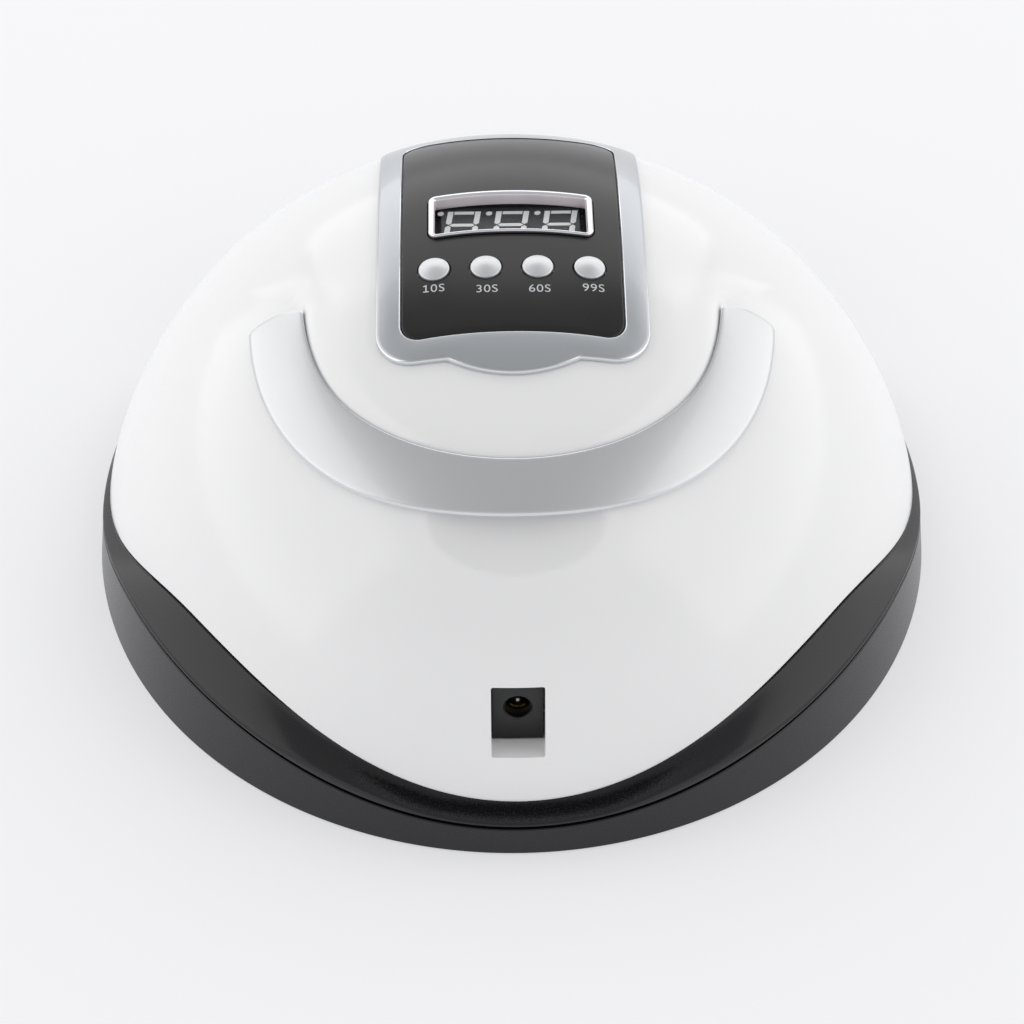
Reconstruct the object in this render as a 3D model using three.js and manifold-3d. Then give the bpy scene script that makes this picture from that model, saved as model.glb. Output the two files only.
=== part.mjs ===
// LED nail lamp: a white domed housing on a dark wavy base, with a control panel on top.
// Millimetres, +Z up. The origin is the centre of the round base on the surface it stands on.
// -Y is the side with the power socket, +Y the side where the hand goes in.
import * as THREE from 'three';
import { mergeVertices } from 'three/addons/utils/BufferGeometryUtils.js';
import Module from 'manifold-3d';

const wasm = await Module();
wasm.setup();

// Shared clearances
const gap = 0.3;              // between pieces that touch
const slideGap = 0.3;         // round a piece that moves
const overrun = 30;           // how far a cutter runs past what it cuts
const sink = 0.5;             // how deep a fused boss or rib reaches into its wall
const mergeDistance = 1e-4;   // points nearer than this are one point

// Base: a cone that leans in a little, split by a wavy seam; the plan of the lamp follows it
const base = {
  radius: 117.5, clearance: 0.4, wall: 3, seamGap: 0.5,
  flangeLow: 3.6, flangeThick: 3, flangeInset: 3,
};
const baseLeanShare = 0.11;   // how far the wall leans in for each unit of height
const baseSteps = 72;

// Dome of the housing: plan half sizes, which stand in from the base, and height
const domeStep = { side: 2.5, back: 5.5, front: 2.5 };
const dome = {
  halfWidth: base.radius - domeStep.side, back: base.radius - domeStep.back, front: base.radius - domeStep.front,
  top: 100,
  crown: 5,                   // Y of the highest point
  foot: 10,                   // height at which the wall stands upright
  wall: 2.4,
};
const domeRiseShare = 1.5;    // exponent of height in the profile
const domeSpreadShare = 2.65; // exponent of width in the profile
const domeSteps = 52;
const domeRings = 11;
const innerDomeSteps = 44;
const innerDomeRings = 8;

// Raised top of the housing, bounded by the handle trim at the back
const plateau = { rise: 2.6, clearance: 0.4, hookX: 66, hookY: 21, fadeX: 130, fadeY: 48 };

// Wavy lines round the base: heights at the back, at the crest, at the sides and at the hand opening
const shellEdge = { back: 14.6, crest: 34.2, side: 16, front: 13, reach: 7.2 };
const shellEdgeTurns = { crest: 54, side: 95, front: 126 };
const seam = { back: 9.6, crest: 24, side: 12.5, front: 9.5 };
const seamTurns = { crest: 63, side: 95, front: 126 };

// Upper band: it rolls in from the wall to the foot of the housing, and a rib stands inside the housing
const skirt = { shoulderDrop: 4.2, ribHeight: 3.5, ribThick: 1.6, ribGap: 1.4, inner: 3, topGap: 0.5 };
const shoulderDropShare = 0.7; // most that the shoulder drops, as a share of the band's height
const innerDropShare = 0.5;    // most that the inner side drops, likewise
const shoulderRoundShare = 0.28; // size of the shoulder's round, as a share of the step to the housing
const filletShare = 0.37;      // size of the fillet at the housing, likewise

// Hand opening
const mouthSide = 20;         // from the side of the dome to the opening
const mouth = { halfWidth: dome.halfWidth - mouthSide, top: 62, corner: 40, start: 20, end: 150 };
const mouthTrim = { wall: 2.2, foot: 6.9, proud: 0.8 };
const mouthSegments = 8;

// Silver arc of the carrying grip
const arc = {
  centreY: -1, inner: 57.6, outer: 70.6, innerSquare: 0.7, outerSquare: 2.7, innerEnd: 1.8,
  innerRise: 1.7, outerRise: 2.7, crownRise: 0.5, edge: 0.6, undercut: 2.2, pegRadius: 1.8, pegLength: 6,
};
const arcHalfTurn = 85.5;
const arcEndTurn = 45;        // where the inner edge starts to draw in towards the ends
const arcSteps = 28;
const arcPegTurns = [-60, 0, 60];
// Finger scoop: a ball whose centre lies behind the arc and above the dome
const scoop = { halfWidth: 31, depth: 9, height: 8, wall: 1.6, behind: 8.4, above: 6.1 };

// Control panel on the raised top
const frame = {
  halfWidth: 36, back: -32.9, front: 76, backCorner: 10.5, frontCorner: 15, thick: 1.8,
  tongueHalfWidth: 17.4, tongueDepth: 5,
};
const frameSide = 6.7;        // from the side of the frame to the fascia
const fascia = {
  halfWidth: frame.halfWidth - frameSide, back: -26, front: 66, backCorner: 5, frontCorner: 8,
  thick: 1.1, arch: 0.9,
};
const windowSide = 3.3;       // from the side of the fascia to the window under it
const panelWindow = { halfWidth: fascia.halfWidth - windowSide, back: -8.3, front: 32.2 };

// Display: a three digit seven segment module under a chrome bezel
const bezelSide = 7.1;        // from the side of the fascia to the bezel
const bezel = {
  halfWidth: fascia.halfWidth - bezelSide, back: 10.8, front: 29, wall: 1.8, proud: 1.2, depth: 4.2, corner: 2.4,
  backArch: 0.4, frontArch: 0.9,
};
const lens = { thick: 0.8, drop: 1.2 };
const display = { side: 1.6, height: 8.8 };
const displayTilt = -4.5;     // degrees, follows the slope of the dome there

// Time buttons
const button = {
  y: -2.5, radius: 4.1, proud: 1.5, domeRise: 0.9, flangeRadius: 4.9, flangeThick: 0.8, stemRadius: 1.5,
  travel: 0.5,
};
const buttonSide = 8.7;       // from the side of the fascia to the middle of the outer buttons
const buttonPitch = (fascia.halfWidth - buttonSide) / 1.5;
const buttonX = { outer: 1.5 * buttonPitch, inner: 0.5 * buttonPitch };
const buttonCrownSteps = 3;
const switchBody = { size: 6, height: 3.5, plungerRadius: 1.6, plungerInside: 1.4, plungerProud: 1.2 };
const board = {
  halfWidth: 31, back: -13, front: 35, top: 90.2, thick: 1.6, boss: 2.6, bossX: 28.6, inset: 3.4,
};
const boardScrew = { head: 2.1, headThick: 1, shaft: 0.9, length: 5 };

// Power socket in the back of the housing
const socket = {
  sink: 13.9, z: 36.9, halfWidth: 7, below: 10.4, above: 9.1, sleeve: 1.6, sleeveDepth: 3,
  plate: 1.6, hole: 3.5, bodyHalfWidth: 4.5, bodyHalfHeight: 5.5, bodyDepth: 10, bore: 3.2, boreDepth: 8.4,
  pin: 1, pinLength: 7, contactThick: 0.5, contactLength: 6,
};
const socketY = socket.sink - dome.back;
const socketTilt = 12;        // degrees that the socket leans back
const contactHalfTurn = 50;

// Reflecting lining of the hand chamber, with room for the boards behind and above it
const linerRoom = { side: 14, back: 28, front: 14, top: 16 };
const liner = {
  halfWidth: dome.halfWidth - linerRoom.side, back: dome.back - linerRoom.back,
  front: dome.front - linerRoom.front, top: dome.top - linerRoom.top, wall: 1.6, footWidth: 3, footThick: 1.6,
};
const linerSteps = 40;
const linerRings = 7;

// Power board behind the chamber
const driverRoom = { back: 12, front: 3 };
const driver = {
  halfWidth: 30, back: driverRoom.back - dome.back, front: -liner.back - driverRoom.front,
  low: 10, thick: 1.6, post: 2.2, postInset: 5,
};
const capacitor = { x: -18, radius: 4, height: 9 };
const choke = { x: 8, ring: 4, wire: 1.8 };

// Light strips on the lining
const strip = { thick: 1.2, height: 8, bead: 2.9, beadRise: 1.8 };
const lowerStrip = { z: 22 };
const lowerStripTurns = { half: 106, beads: 11 };
const upperStrip = { z: 52 };
const upperStripTurns = { half: 112, beads: 9 };
const topStrip = { inner: 17, outer: 27, drop: 0.9 };
const topStripTurns = { beads: 6 };
const stripSteps = 24;
const upperBeadTilt = 35;     // degrees that the upper beads point down
const beadSides = 8;

// Hand sensors in the sides of the hand opening
const sensor = { y: 52, z: 24, radius: 2.2, length: 3.6, dome: 1.2 };

// Base tray that lifts off
const trayFrontInset = 5;     // from the side of the opening to the end of the raised front
const tray = {
  low: 1, thick: 2.3, gap: 0.7, frontHalfWidth: mouth.halfWidth - trayFrontInset, lip: 6.5, lipWall: 2.6,
};
const footInset = 51.5;
const foot = { radius: 6, thick: 1, inset: 0.3, x: base.radius - footInset, y: base.radius - footInset };
const footPlaces = [[-foot.x, -foot.y], [foot.x, -foot.y], [-foot.x, foot.y], [foot.x, foot.y]];
const magnetInset = 29.5;
const magnet = { radius: 5, thick: 1.8, x: base.radius - magnetInset, yBack: -55, yFront: 18 };
const magnetPlaces = [
  [-magnet.x, magnet.yBack], [magnet.x, magnet.yBack], [-magnet.x, magnet.yFront], [magnet.x, magnet.yFront],
];
const baseScrewInset = 9.3;
const baseScrew = {
  head: 2.8, headThick: 1.5, recess: 2, shaft: 1.4, length: 5, boss: 3.4, radius: base.radius - baseScrewInset,
};
const baseScrewTurns = [-100, -36, 36, 100];

const roundSides = 16;
const smallSides = 10;

// Angles
const toRadians = (degrees) => degrees * Math.PI / 180;
const quarterTurn = Math.PI / 2;
const wholeTurn = 360;

// Smooth step from 0 to 1
function ease(share) {
  const t = Math.min(Math.max(share, 0), 1);
  return Math.sin(t * quarterTurn) ** 2;
}

// Height of a wavy line at a turn, in degrees from the back
function waveHeight(line, turns, degrees) {
  const turn = Math.abs(degrees);
  const rise = (line.crest - line.back) * ease(turn / turns.crest);
  const fall = (line.side - line.crest) * ease((turn - turns.crest) / (turns.side - turns.crest));
  const end = (line.front - line.side) * ease((turn - turns.side) / (turns.front - turns.side));
  return line.back + rise + fall + end;
}

// Radii of the silver arc at a turn, in degrees from the back: a little squarer than a circle
const squareness = (turn) => Math.sin(2 * toRadians(turn)) ** 2;
const arcOuter = (turn) => arc.outer + arc.outerSquare * squareness(turn);
function arcInner(turn) {
  const drawn = ease((Math.abs(turn) - arcEndTurn) / (arcHalfTurn - arcEndTurn));
  return arc.inner + arc.innerSquare * squareness(turn) - arc.innerEnd * drawn;
}

// Plan point at a turn from the back and a radius about the arc's centre
function arcPoint(turn, radius) {
  const angle = toRadians(turn);
  return [radius * Math.sin(angle), arc.centreY - radius * Math.cos(angle)];
}

// A dome surface: the housing's own one grown outwards, and its top raised further
function domeSurface(grow, rise) {
  return {
    halfWidth: dome.halfWidth + grow, back: dome.back + grow, front: dome.front + grow,
    top: dome.top + grow + rise,
  };
}

// Plan size of a dome at a height, as a share of its size at the foot
function spreadAt(surface, z) {
  const climbed = Math.max((z - dome.foot) / (surface.top - dome.foot), 0);
  return (1 - Math.min(climbed, 1) ** domeRiseShare) ** (1 / domeSpreadShare);
}

// Height of a dome over a point of the plan
function heightAt(surface, x, y) {
  const reach = y < dome.crown ? surface.back + dome.crown : surface.front - dome.crown;
  const spread = Math.hypot(x / surface.halfWidth, (y - dome.crown) / reach);
  const climbed = Math.max(1 - spread ** domeSpreadShare, 0) ** (1 / domeRiseShare);
  return dome.foot + (surface.top - dome.foot) * climbed;
}

// Distance from the Z axis to a dome, at a turn from the back and a height
function radiusAt(surface, degrees, z) {
  const side = Math.sin(toRadians(degrees));
  const along = -Math.cos(toRadians(degrees));
  const spread = spreadAt(surface, z);
  const solve = (reach) => {
    const a = (side / surface.halfWidth) ** 2 + (along / reach) ** 2;
    const b = -2 * along * dome.crown / reach ** 2;
    const c = (dome.crown / reach) ** 2 - spread ** 2;
    return (-b + Math.sqrt(b * b - 4 * a * c)) / (2 * a);
  };
  const radius = solve(surface.back + dome.crown);
  return radius * along < dome.crown ? radius : solve(surface.front - dome.crown);
}

const outerDome = domeSurface(0, 0);
const innerDome = domeSurface(-dome.wall, 0);
const raisedDome = domeSurface(0, plateau.rise);
const linerInner = {
  halfWidth: liner.halfWidth - liner.wall, back: liner.back - liner.wall,
  front: liner.front - liner.wall, top: liner.top - liner.wall,
};
const linerClear = {
  halfWidth: liner.halfWidth + gap, back: liner.back + gap, front: liner.front + gap, top: liner.top + gap,
};
const linerClearInner = {
  halfWidth: linerInner.halfWidth - gap, back: linerInner.back - gap,
  front: linerInner.front - gap, top: linerInner.top - gap,
};
const baseRadius = (z) => base.radius - baseLeanShare * z;

// Heights of the dark upper band at a turn: its foot, its top, and how far its inner side drops
function skirtAt(turn) {
  const low = waveHeight(seam, seamTurns, turn) + base.seamGap / 2;
  const top = waveHeight(shellEdge, shellEdgeTurns, turn) - skirt.topGap;
  const shoulder = top - Math.min(skirt.shoulderDrop, shoulderDropShare * (top - low));
  const inner = top - Math.min(skirt.inner, innerDropShare * (top - low));
  return { low, top, shoulder, inner };
}

const baseScrewPlaces = baseScrewTurns.map((turn) => {
  const angle = toRadians(turn);
  return [baseScrew.radius * Math.sin(angle), -baseScrew.radius * Math.cos(angle), turn];
});

// Turns a closed geometry into a solid that can be cut and joined
function solid(geometry) {
  const bare = geometry.index ? geometry.toNonIndexed() : geometry.clone();
  bare.deleteAttribute('normal');
  bare.deleteAttribute('uv');
  const merged = mergeVertices(bare, mergeDistance);
  return new wasm.Manifold(new wasm.Mesh({
    numProp: 3,
    vertProperties: new Float32Array(merged.attributes.position.array),
    triVerts: new Uint32Array(merged.index.array),
  }));
}

// Turns a solid back into a geometry
function geometryOf(shape) {
  const mesh = shape.getMesh();
  const geometry = new THREE.BufferGeometry();
  geometry.setAttribute('position', new THREE.BufferAttribute(new Float32Array(mesh.vertProperties), 3));
  geometry.setIndex(new THREE.BufferAttribute(new Uint32Array(mesh.triVerts), 1));
  return geometry;
}

// Closed geometry from points and faces, turned so that its faces point out
function closedGeometry(points, faces) {
  let volume = 0;
  for (const [a, b, c] of faces) {
    const cross = new THREE.Vector3().crossVectors(points[b], points[c]);
    volume += points[a].dot(cross);
  }
  const index = volume > 0 ? faces.flat() : faces.flatMap(([a, b, c]) => [a, c, b]);
  const geometry = new THREE.BufferGeometry();
  geometry.setAttribute('position', new THREE.Float32BufferAttribute(points.flatMap((p) => p.toArray()), 3));
  geometry.setIndex(index);
  return geometry;
}

// Solid swept round an upright axis: outlineAt gives [radius, height] pairs at a turn from the back
function sweepRound(outlineAt, fromTurn, toTurn, steps, centreY = 0) {
  const closed = toTurn - fromTurn >= wholeTurn;
  const sections = closed ? steps : steps + 1;
  const points = [];
  const faces = [];
  let count = 0;
  for (let i = 0; i < sections; i += 1) {
    const turn = fromTurn + (toTurn - fromTurn) * i / steps;
    const outline = outlineAt(turn);
    count = outline.length;
    for (const [radius, z] of outline) {
      const x = radius * Math.sin(toRadians(turn));
      const y = centreY - radius * Math.cos(toRadians(turn));
      points.push(new THREE.Vector3(x, y, z));
    }
  }
  for (let i = 0; i < steps; i += 1) {
    const here = i * count;
    const next = ((i + 1) % sections) * count;
    for (let j = 0; j < count; j += 1) {
      const k = (j + 1) % count;
      faces.push([here + j, next + j, next + k], [here + j, next + k, here + k]);
    }
  }
  if (!closed) {
    const contour = outlineAt(fromTurn).map(([radius, z]) => new THREE.Vector2(radius, z));
    const forward = THREE.ShapeUtils.area(contour) > 0;
    const last = steps * count;
    for (const triple of THREE.ShapeUtils.triangulateShape([...contour], [])) {
      const same = THREE.ShapeUtils.area(triple.map((n) => contour[n])) > 0 === forward;
      const [a, b, c] = same ? triple : [...triple].reverse();
      faces.push([a, b, c], [last + c, last + b, last + a]);
    }
  }
  return closedGeometry(points, faces);
}

// Full dome down to a flat bottom
function domeGeometry(surface, bottom, steps, rings) {
  const points = [];
  const faces = [];
  const levels = [[bottom, 1]];
  for (let i = 0; i < rings; i += 1) {
    const angle = quarterTurn * i / rings;
    const climbed = Math.sin(angle) ** (2 / domeRiseShare);
    const spread = Math.cos(angle) ** (2 / domeSpreadShare);
    levels.push([dome.foot + (surface.top - dome.foot) * climbed, spread]);
  }
  for (const [z, spread] of levels) {
    for (let j = 0; j < steps; j += 1) {
      const angle = 2 * Math.PI * j / steps;
      const along = -Math.cos(angle);
      const reach = along < 0 ? surface.back + dome.crown : surface.front - dome.crown;
      const x = surface.halfWidth * spread * Math.sin(angle);
      points.push(new THREE.Vector3(x, dome.crown + reach * spread * along, z));
    }
  }
  for (let i = 0; i + 1 < levels.length; i += 1) {
    for (let j = 0; j < steps; j += 1) {
      const k = (j + 1) % steps;
      const low = i * steps;
      const high = low + steps;
      faces.push([low + j, low + k, high + k], [low + j, high + k, high + j]);
    }
  }
  const foot = points.push(new THREE.Vector3(0, dome.crown, bottom)) - 1;
  const peak = points.push(new THREE.Vector3(0, dome.crown, surface.top)) - 1;
  const last = (levels.length - 1) * steps;
  for (let j = 0; j < steps; j += 1) {
    const k = (j + 1) % steps;
    faces.push([foot, k, j], [peak, last + j, last + k]);
  }
  return closedGeometry(points, faces);
}

// Upright prism over a plan outline
function prism(shape, low, high, curveSegments = 6) {
  const settings = { depth: high - low, bevelEnabled: false, curveSegments };
  return solid(new THREE.ExtrudeGeometry(shape, settings).translate(0, 0, low));
}

// Box between two corners
function block(x0, x1, y0, y1, z0, z1) {
  const geometry = new THREE.BoxGeometry(x1 - x0, y1 - y0, z1 - z0);
  return geometry.translate((x0 + x1) / 2, (y0 + y1) / 2, (z0 + z1) / 2);
}

// Upright cylinder between two heights
function post(radius, x, y, low, high, sides = smallSides) {
  const geometry = new THREE.CylinderGeometry(radius, radius, high - low, sides);
  return geometry.rotateX(quarterTurn).translate(x, y, (low + high) / 2);
}

// Arched tunnel along Y, inset from the hand opening on its sides and top
function mouthTunnel(inset, low) {
  const halfWidth = mouth.halfWidth - inset;
  const top = mouth.top - inset;
  const corner = mouth.corner - inset;
  const shape = new THREE.Shape();
  shape.moveTo(-halfWidth, low);
  shape.lineTo(halfWidth, low);
  shape.lineTo(halfWidth, top - corner);
  shape.absarc(halfWidth - corner, top - corner, corner, 0, quarterTurn, false);
  shape.lineTo(-halfWidth + corner, top);
  shape.absarc(-halfWidth + corner, top - corner, corner, quarterTurn, Math.PI, false);
  const geometry = new THREE.ExtrudeGeometry(shape, {
    depth: mouth.end - mouth.start, bevelEnabled: false, curveSegments: mouthSegments,
  });
  return solid(geometry.rotateX(quarterTurn).translate(0, mouth.end, 0));
}

const root = new THREE.Group();

function addPiece(name, geometry, look, parent = root) {
  const mesh = new THREE.Mesh(geometry, new THREE.MeshStandardMaterial(look));
  mesh.name = name;
  parent.add(mesh);
  return mesh;
}

const looks = {
  whiteGloss: { color: 0xf2f2f4, roughness: 0.15, metalness: 0 },
  darkSatin: { color: 0x303134, roughness: 0.5, metalness: 0 },
  silver: { color: 0xb9bcc0, roughness: 0.35, metalness: 0.8 },
  chrome: { color: 0xd8d8dc, roughness: 0.1, metalness: 1 },
  blackGloss: { color: 0x1c1b1c, roughness: 0.2, metalness: 0 },
  blackMatte: { color: 0x141414, roughness: 0.6, metalness: 0 },
  smokedClear: { color: 0x3a3538, roughness: 0.05, metalness: 0, transparent: true, opacity: 0.4 },
  boardGreen: { color: 0x1f5a36, roughness: 0.5, metalness: 0 },
  boardWhite: { color: 0xe8e8e4, roughness: 0.5, metalness: 0 },
  reflector: { color: 0xe6e8ea, roughness: 0.25, metalness: 0.6 },
  steel: { color: 0x9a9ca0, roughness: 0.35, metalness: 1 },
  brass: { color: 0xb08d4a, roughness: 0.35, metalness: 1 },
  rubber: { color: 0x1a1a1a, roughness: 0.9, metalness: 0 },
  magnetNickel: { color: 0xb4b4b8, roughness: 0.25, metalness: 1 },
  sleeveBlue: { color: 0x1f2b4a, roughness: 0.4, metalness: 0 },
};

// Places of the control board's four posts
const boardPosts = [];
for (const x of [-board.bossX, board.bossX]) {
  for (const y of [board.back + board.inset, board.front - board.inset]) boardPosts.push([x, y]);
}

// Group in which the socket's pieces lie: x to the right, y up the face, z out of it
const socketGroup = new THREE.Group();
socketGroup.position.set(0, socketY, socket.z);
socketGroup.rotation.x = quarterTurn - toRadians(socketTilt);
socketGroup.updateMatrix();
root.add(socketGroup);

// White housing
function makeTopShell() {
  const plan = new THREE.Shape();
  plan.moveTo(...arcPoint(arcHalfTurn, arcInner(arcHalfTurn) - plateau.clearance));
  plan.lineTo(plateau.hookX, plateau.hookY);
  plan.lineTo(plateau.fadeX, plateau.fadeY);
  plan.lineTo(plateau.fadeX, mouth.end);
  plan.lineTo(-plateau.fadeX, mouth.end);
  plan.lineTo(-plateau.fadeX, plateau.fadeY);
  plan.lineTo(-plateau.hookX, plateau.hookY);
  for (let i = 0; i < arcSteps; i += 1) {
    const turn = arcHalfTurn * (2 * i / arcSteps - 1);
    plan.lineTo(...arcPoint(turn, arcInner(turn) - plateau.clearance));
  }
  let shell = solid(domeGeometry(outerDome, 0, domeSteps, domeRings));
  const raised = solid(domeGeometry(raisedDome, 0, domeSteps, domeRings));
  shell = shell.add(raised.intersect(prism(plan, 0, raisedDome.top + overrun)));
  const envelope = shell;
  shell = shell.subtract(solid(domeGeometry(innerDome, -overrun, innerDomeSteps, innerDomeRings)));

  // Shallow finger scoop under the grip, with its own wall behind it
  const scoopY = -arc.outer - scoop.behind;
  const scoopZ = heightAt(outerDome, 0, scoopY) + scoop.above;
  const scoopShape = (grow) => {
    const ball = new THREE.SphereGeometry(1, roundSides, smallSides);
    ball.scale(scoop.halfWidth + grow, scoop.depth + grow, scoop.height + grow);
    return solid(ball.translate(0, scoopY, scoopZ));
  };
  shell = shell.add(scoopShape(scoop.wall).intersect(envelope)).subtract(scoopShape(0));

  // Posts that hold the control board
  for (const [x, y] of boardPosts) {
    const roof = heightAt(innerDome, x, y);
    shell = shell.add(solid(post(board.boss, x, y, board.top + gap, roof + sink)));
    const hole = post(boardScrew.shaft + gap, x, y, board.top, board.top + boardScrew.length);
    shell = shell.subtract(solid(hole));
  }

  // Sleeve and window of the power socket
  const sleeve = block(
    -socket.halfWidth - socket.sleeve, socket.halfWidth + socket.sleeve,
    -socket.below - socket.sleeve, socket.above + socket.sleeve, -socket.sleeveDepth, overrun,
  );
  const opening = block(
    -socket.halfWidth, socket.halfWidth, -socket.below, socket.above, -socket.sleeveDepth - overrun, overrun,
  );
  shell = shell.add(solid(sleeve.applyMatrix4(socketGroup.matrix)).intersect(envelope));
  shell = shell.subtract(solid(opening.applyMatrix4(socketGroup.matrix)));

  // Window under the fascia for the display and the buttons
  const cutWindow = block(
    -panelWindow.halfWidth, panelWindow.halfWidth, panelWindow.back, panelWindow.front,
    board.top + gap, raisedDome.top + overrun,
  );
  shell = shell.subtract(solid(cutWindow));

  // Holes for the pegs of the silver arc
  for (const turn of arcPegTurns) {
    const [x, y] = arcPoint(turn, (arcInner(turn) + arcOuter(turn)) / 2);
    const z = heightAt(outerDome, x, y);
    shell = shell.subtract(solid(post(arc.pegRadius + gap, x, y, z - overrun / 2, z + overrun)));
  }

  // Wavy lower edge and the hand opening
  const below = sweepRound((turn) => {
    const z = waveHeight(shellEdge, shellEdgeTurns, turn);
    const edge = radiusAt(outerDome, turn, z);
    const near = edge - shellEdge.reach;
    const far = edge + shellEdge.reach;
    const wide = base.radius + overrun;
    return [[near, -overrun], [wide, -overrun], [wide, z - overrun], [far, z], [near, z]];
  }, -180, 180, baseSteps);
  return shell.subtract(solid(below)).subtract(mouthTunnel(0, -overrun));
}

// Dark upper band of the base, from the seam up to the white housing
function makeSkirt() {
  const ring = sweepRound((turn) => {
    const { low, top, shoulder, inner } = skirtAt(turn);
    const edge = radiusAt(outerDome, turn, top);
    const step = baseRadius(top) - edge;
    const round = shoulderRoundShare * step;
    const fillet = filletShare * step;
    const rib = radiusAt(innerDome, turn, top) - skirt.ribGap;
    const ribTop = radiusAt(innerDome, turn, top + skirt.ribHeight) - skirt.ribGap;
    return [
      [baseRadius(low), low],
      [baseRadius(shoulder), shoulder],
      [baseRadius(shoulder) - round, shoulder + round],
      [edge + fillet, top - fillet / 2],
      [edge, top],
      [rib, top],
      [ribTop, top + skirt.ribHeight],
      [ribTop - skirt.ribThick, top + skirt.ribHeight],
      [rib - skirt.ribThick, inner],
      [baseRadius(low) - base.wall, low],
    ];
  }, -180, 180, baseSteps);
  let band = solid(ring);
  const low = base.flangeLow + base.flangeThick + gap;
  for (const [x, y, turn] of baseScrewPlaces) {
    band = band.add(solid(post(baseScrew.boss, x, y, low, skirtAt(turn).inner + sink)));
    band = band.subtract(solid(post(baseScrew.shaft + gap, x, y, low - overrun, low + baseScrew.length)));
  }
  return band.subtract(mouthTunnel(0, -overrun));
}

// Dark lower ring of the base with the flange that everything is screwed to
function makeRim() {
  const ring = sweepRound((turn) => {
    const top = waveHeight(seam, seamTurns, turn) - base.seamGap / 2;
    const flangeTop = base.flangeLow + base.flangeThick;
    const inner = radiusAt(linerInner, turn, dome.foot) - base.flangeInset;
    return [
      [baseRadius(base.clearance), base.clearance],
      [baseRadius(top), top],
      [baseRadius(top) - base.wall, top],
      [baseRadius(flangeTop) - base.wall, flangeTop],
      [inner, flangeTop],
      [inner, base.flangeLow],
      [baseRadius(base.flangeLow) - base.wall, base.flangeLow],
      [baseRadius(base.clearance) - base.wall, base.clearance],
    ];
  }, -180, 180, baseSteps);
  let rim = solid(ring);
  const flangeTop = base.flangeLow + base.flangeThick;
  for (const x of [-driver.halfWidth + driver.postInset, driver.halfWidth - driver.postInset]) {
    const y = (driver.back + driver.front) / 2;
    rim = rim.add(solid(post(driver.post, x, y, flangeTop - sink, driver.low - gap)));
  }
  for (const [x, y] of baseScrewPlaces) {
    rim = rim.subtract(solid(post(baseScrew.shaft + gap, x, y, -overrun, overrun)));
    rim = rim.subtract(solid(post(baseScrew.head + gap, x, y, -overrun, base.flangeLow + baseScrew.recess)));
  }
  for (const [x, y] of magnetPlaces) {
    const roof = base.flangeLow + magnet.thick + gap;
    rim = rim.subtract(solid(post(magnet.radius + gap, x, y, base.flangeLow - overrun, roof, roundSides)));
  }
  const front = block(
    -tray.frontHalfWidth - gap, tray.frontHalfWidth + gap, 0, mouth.end, -overrun, overrun,
  );
  return rim.subtract(solid(front)).subtract(mouthTunnel(0, flangeTop));
}

// Silver arc round the back of the raised top
function makeArc() {
  const band = sweepRound((turn) => {
    const at = (radius) => heightAt(outerDome, ...arcPoint(turn, radius));
    const inner = arcInner(turn);
    const outer = arcOuter(turn);
    const foot = outer - arc.undercut;
    const middle = (inner + outer) / 2;
    const middleRise = (arc.innerRise + arc.outerRise) / 2 + arc.crownRise;
    return [
      [inner, at(inner) + gap],
      [inner, at(inner) + arc.innerRise - arc.edge],
      [inner + arc.edge, at(inner + arc.edge) + arc.innerRise],
      [middle, at(middle) + middleRise],
      [outer - arc.edge, at(outer - arc.edge) + arc.outerRise],
      [outer, at(outer) + arc.outerRise - arc.edge],
      [foot, at(foot) + gap],
      [middle, at(middle) + gap],
    ];
  }, -arcHalfTurn, arcHalfTurn, arcSteps, arc.centreY);
  let trim = solid(band);
  for (const turn of arcPegTurns) {
    const [x, y] = arcPoint(turn, (arcInner(turn) + arcOuter(turn)) / 2);
    const z = heightAt(outerDome, x, y);
    trim = trim.add(solid(post(arc.pegRadius, x, y, z - arc.pegLength, z + arc.innerRise)));
  }
  return trim;
}

// Layer of the raised top between two distances above it
function topLayer(low, high) {
  const outer = domeGeometry(domeSurface(0, plateau.rise + high), 0, domeSteps, domeRings);
  const inner = domeGeometry(domeSurface(0, plateau.rise + low), -overrun, domeSteps, domeRings);
  return solid(outer).subtract(solid(inner));
}

// Outline of the silver panel frame, with the tongue at its back edge
function frameOutline() {
  const shape = new THREE.Shape();
  const { halfWidth, back, front, backCorner, frontCorner, tongueHalfWidth, tongueDepth } = frame;
  shape.moveTo(-halfWidth + backCorner, back);
  shape.lineTo(-tongueHalfWidth, back);
  shape.quadraticCurveTo(0, back - 2 * tongueDepth, tongueHalfWidth, back);
  shape.lineTo(halfWidth - backCorner, back);
  shape.absarc(halfWidth - backCorner, back + backCorner, backCorner, -quarterTurn, 0, false);
  shape.lineTo(halfWidth, front - frontCorner);
  shape.absarc(halfWidth - frontCorner, front - frontCorner, frontCorner, 0, quarterTurn, false);
  shape.lineTo(-halfWidth + frontCorner, front);
  shape.absarc(-halfWidth + frontCorner, front - frontCorner, frontCorner, quarterTurn, Math.PI, false);
  shape.lineTo(-halfWidth, back + backCorner);
  shape.absarc(-halfWidth + backCorner, back + backCorner, backCorner, Math.PI, 3 * quarterTurn, false);
  return shape;
}

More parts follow.
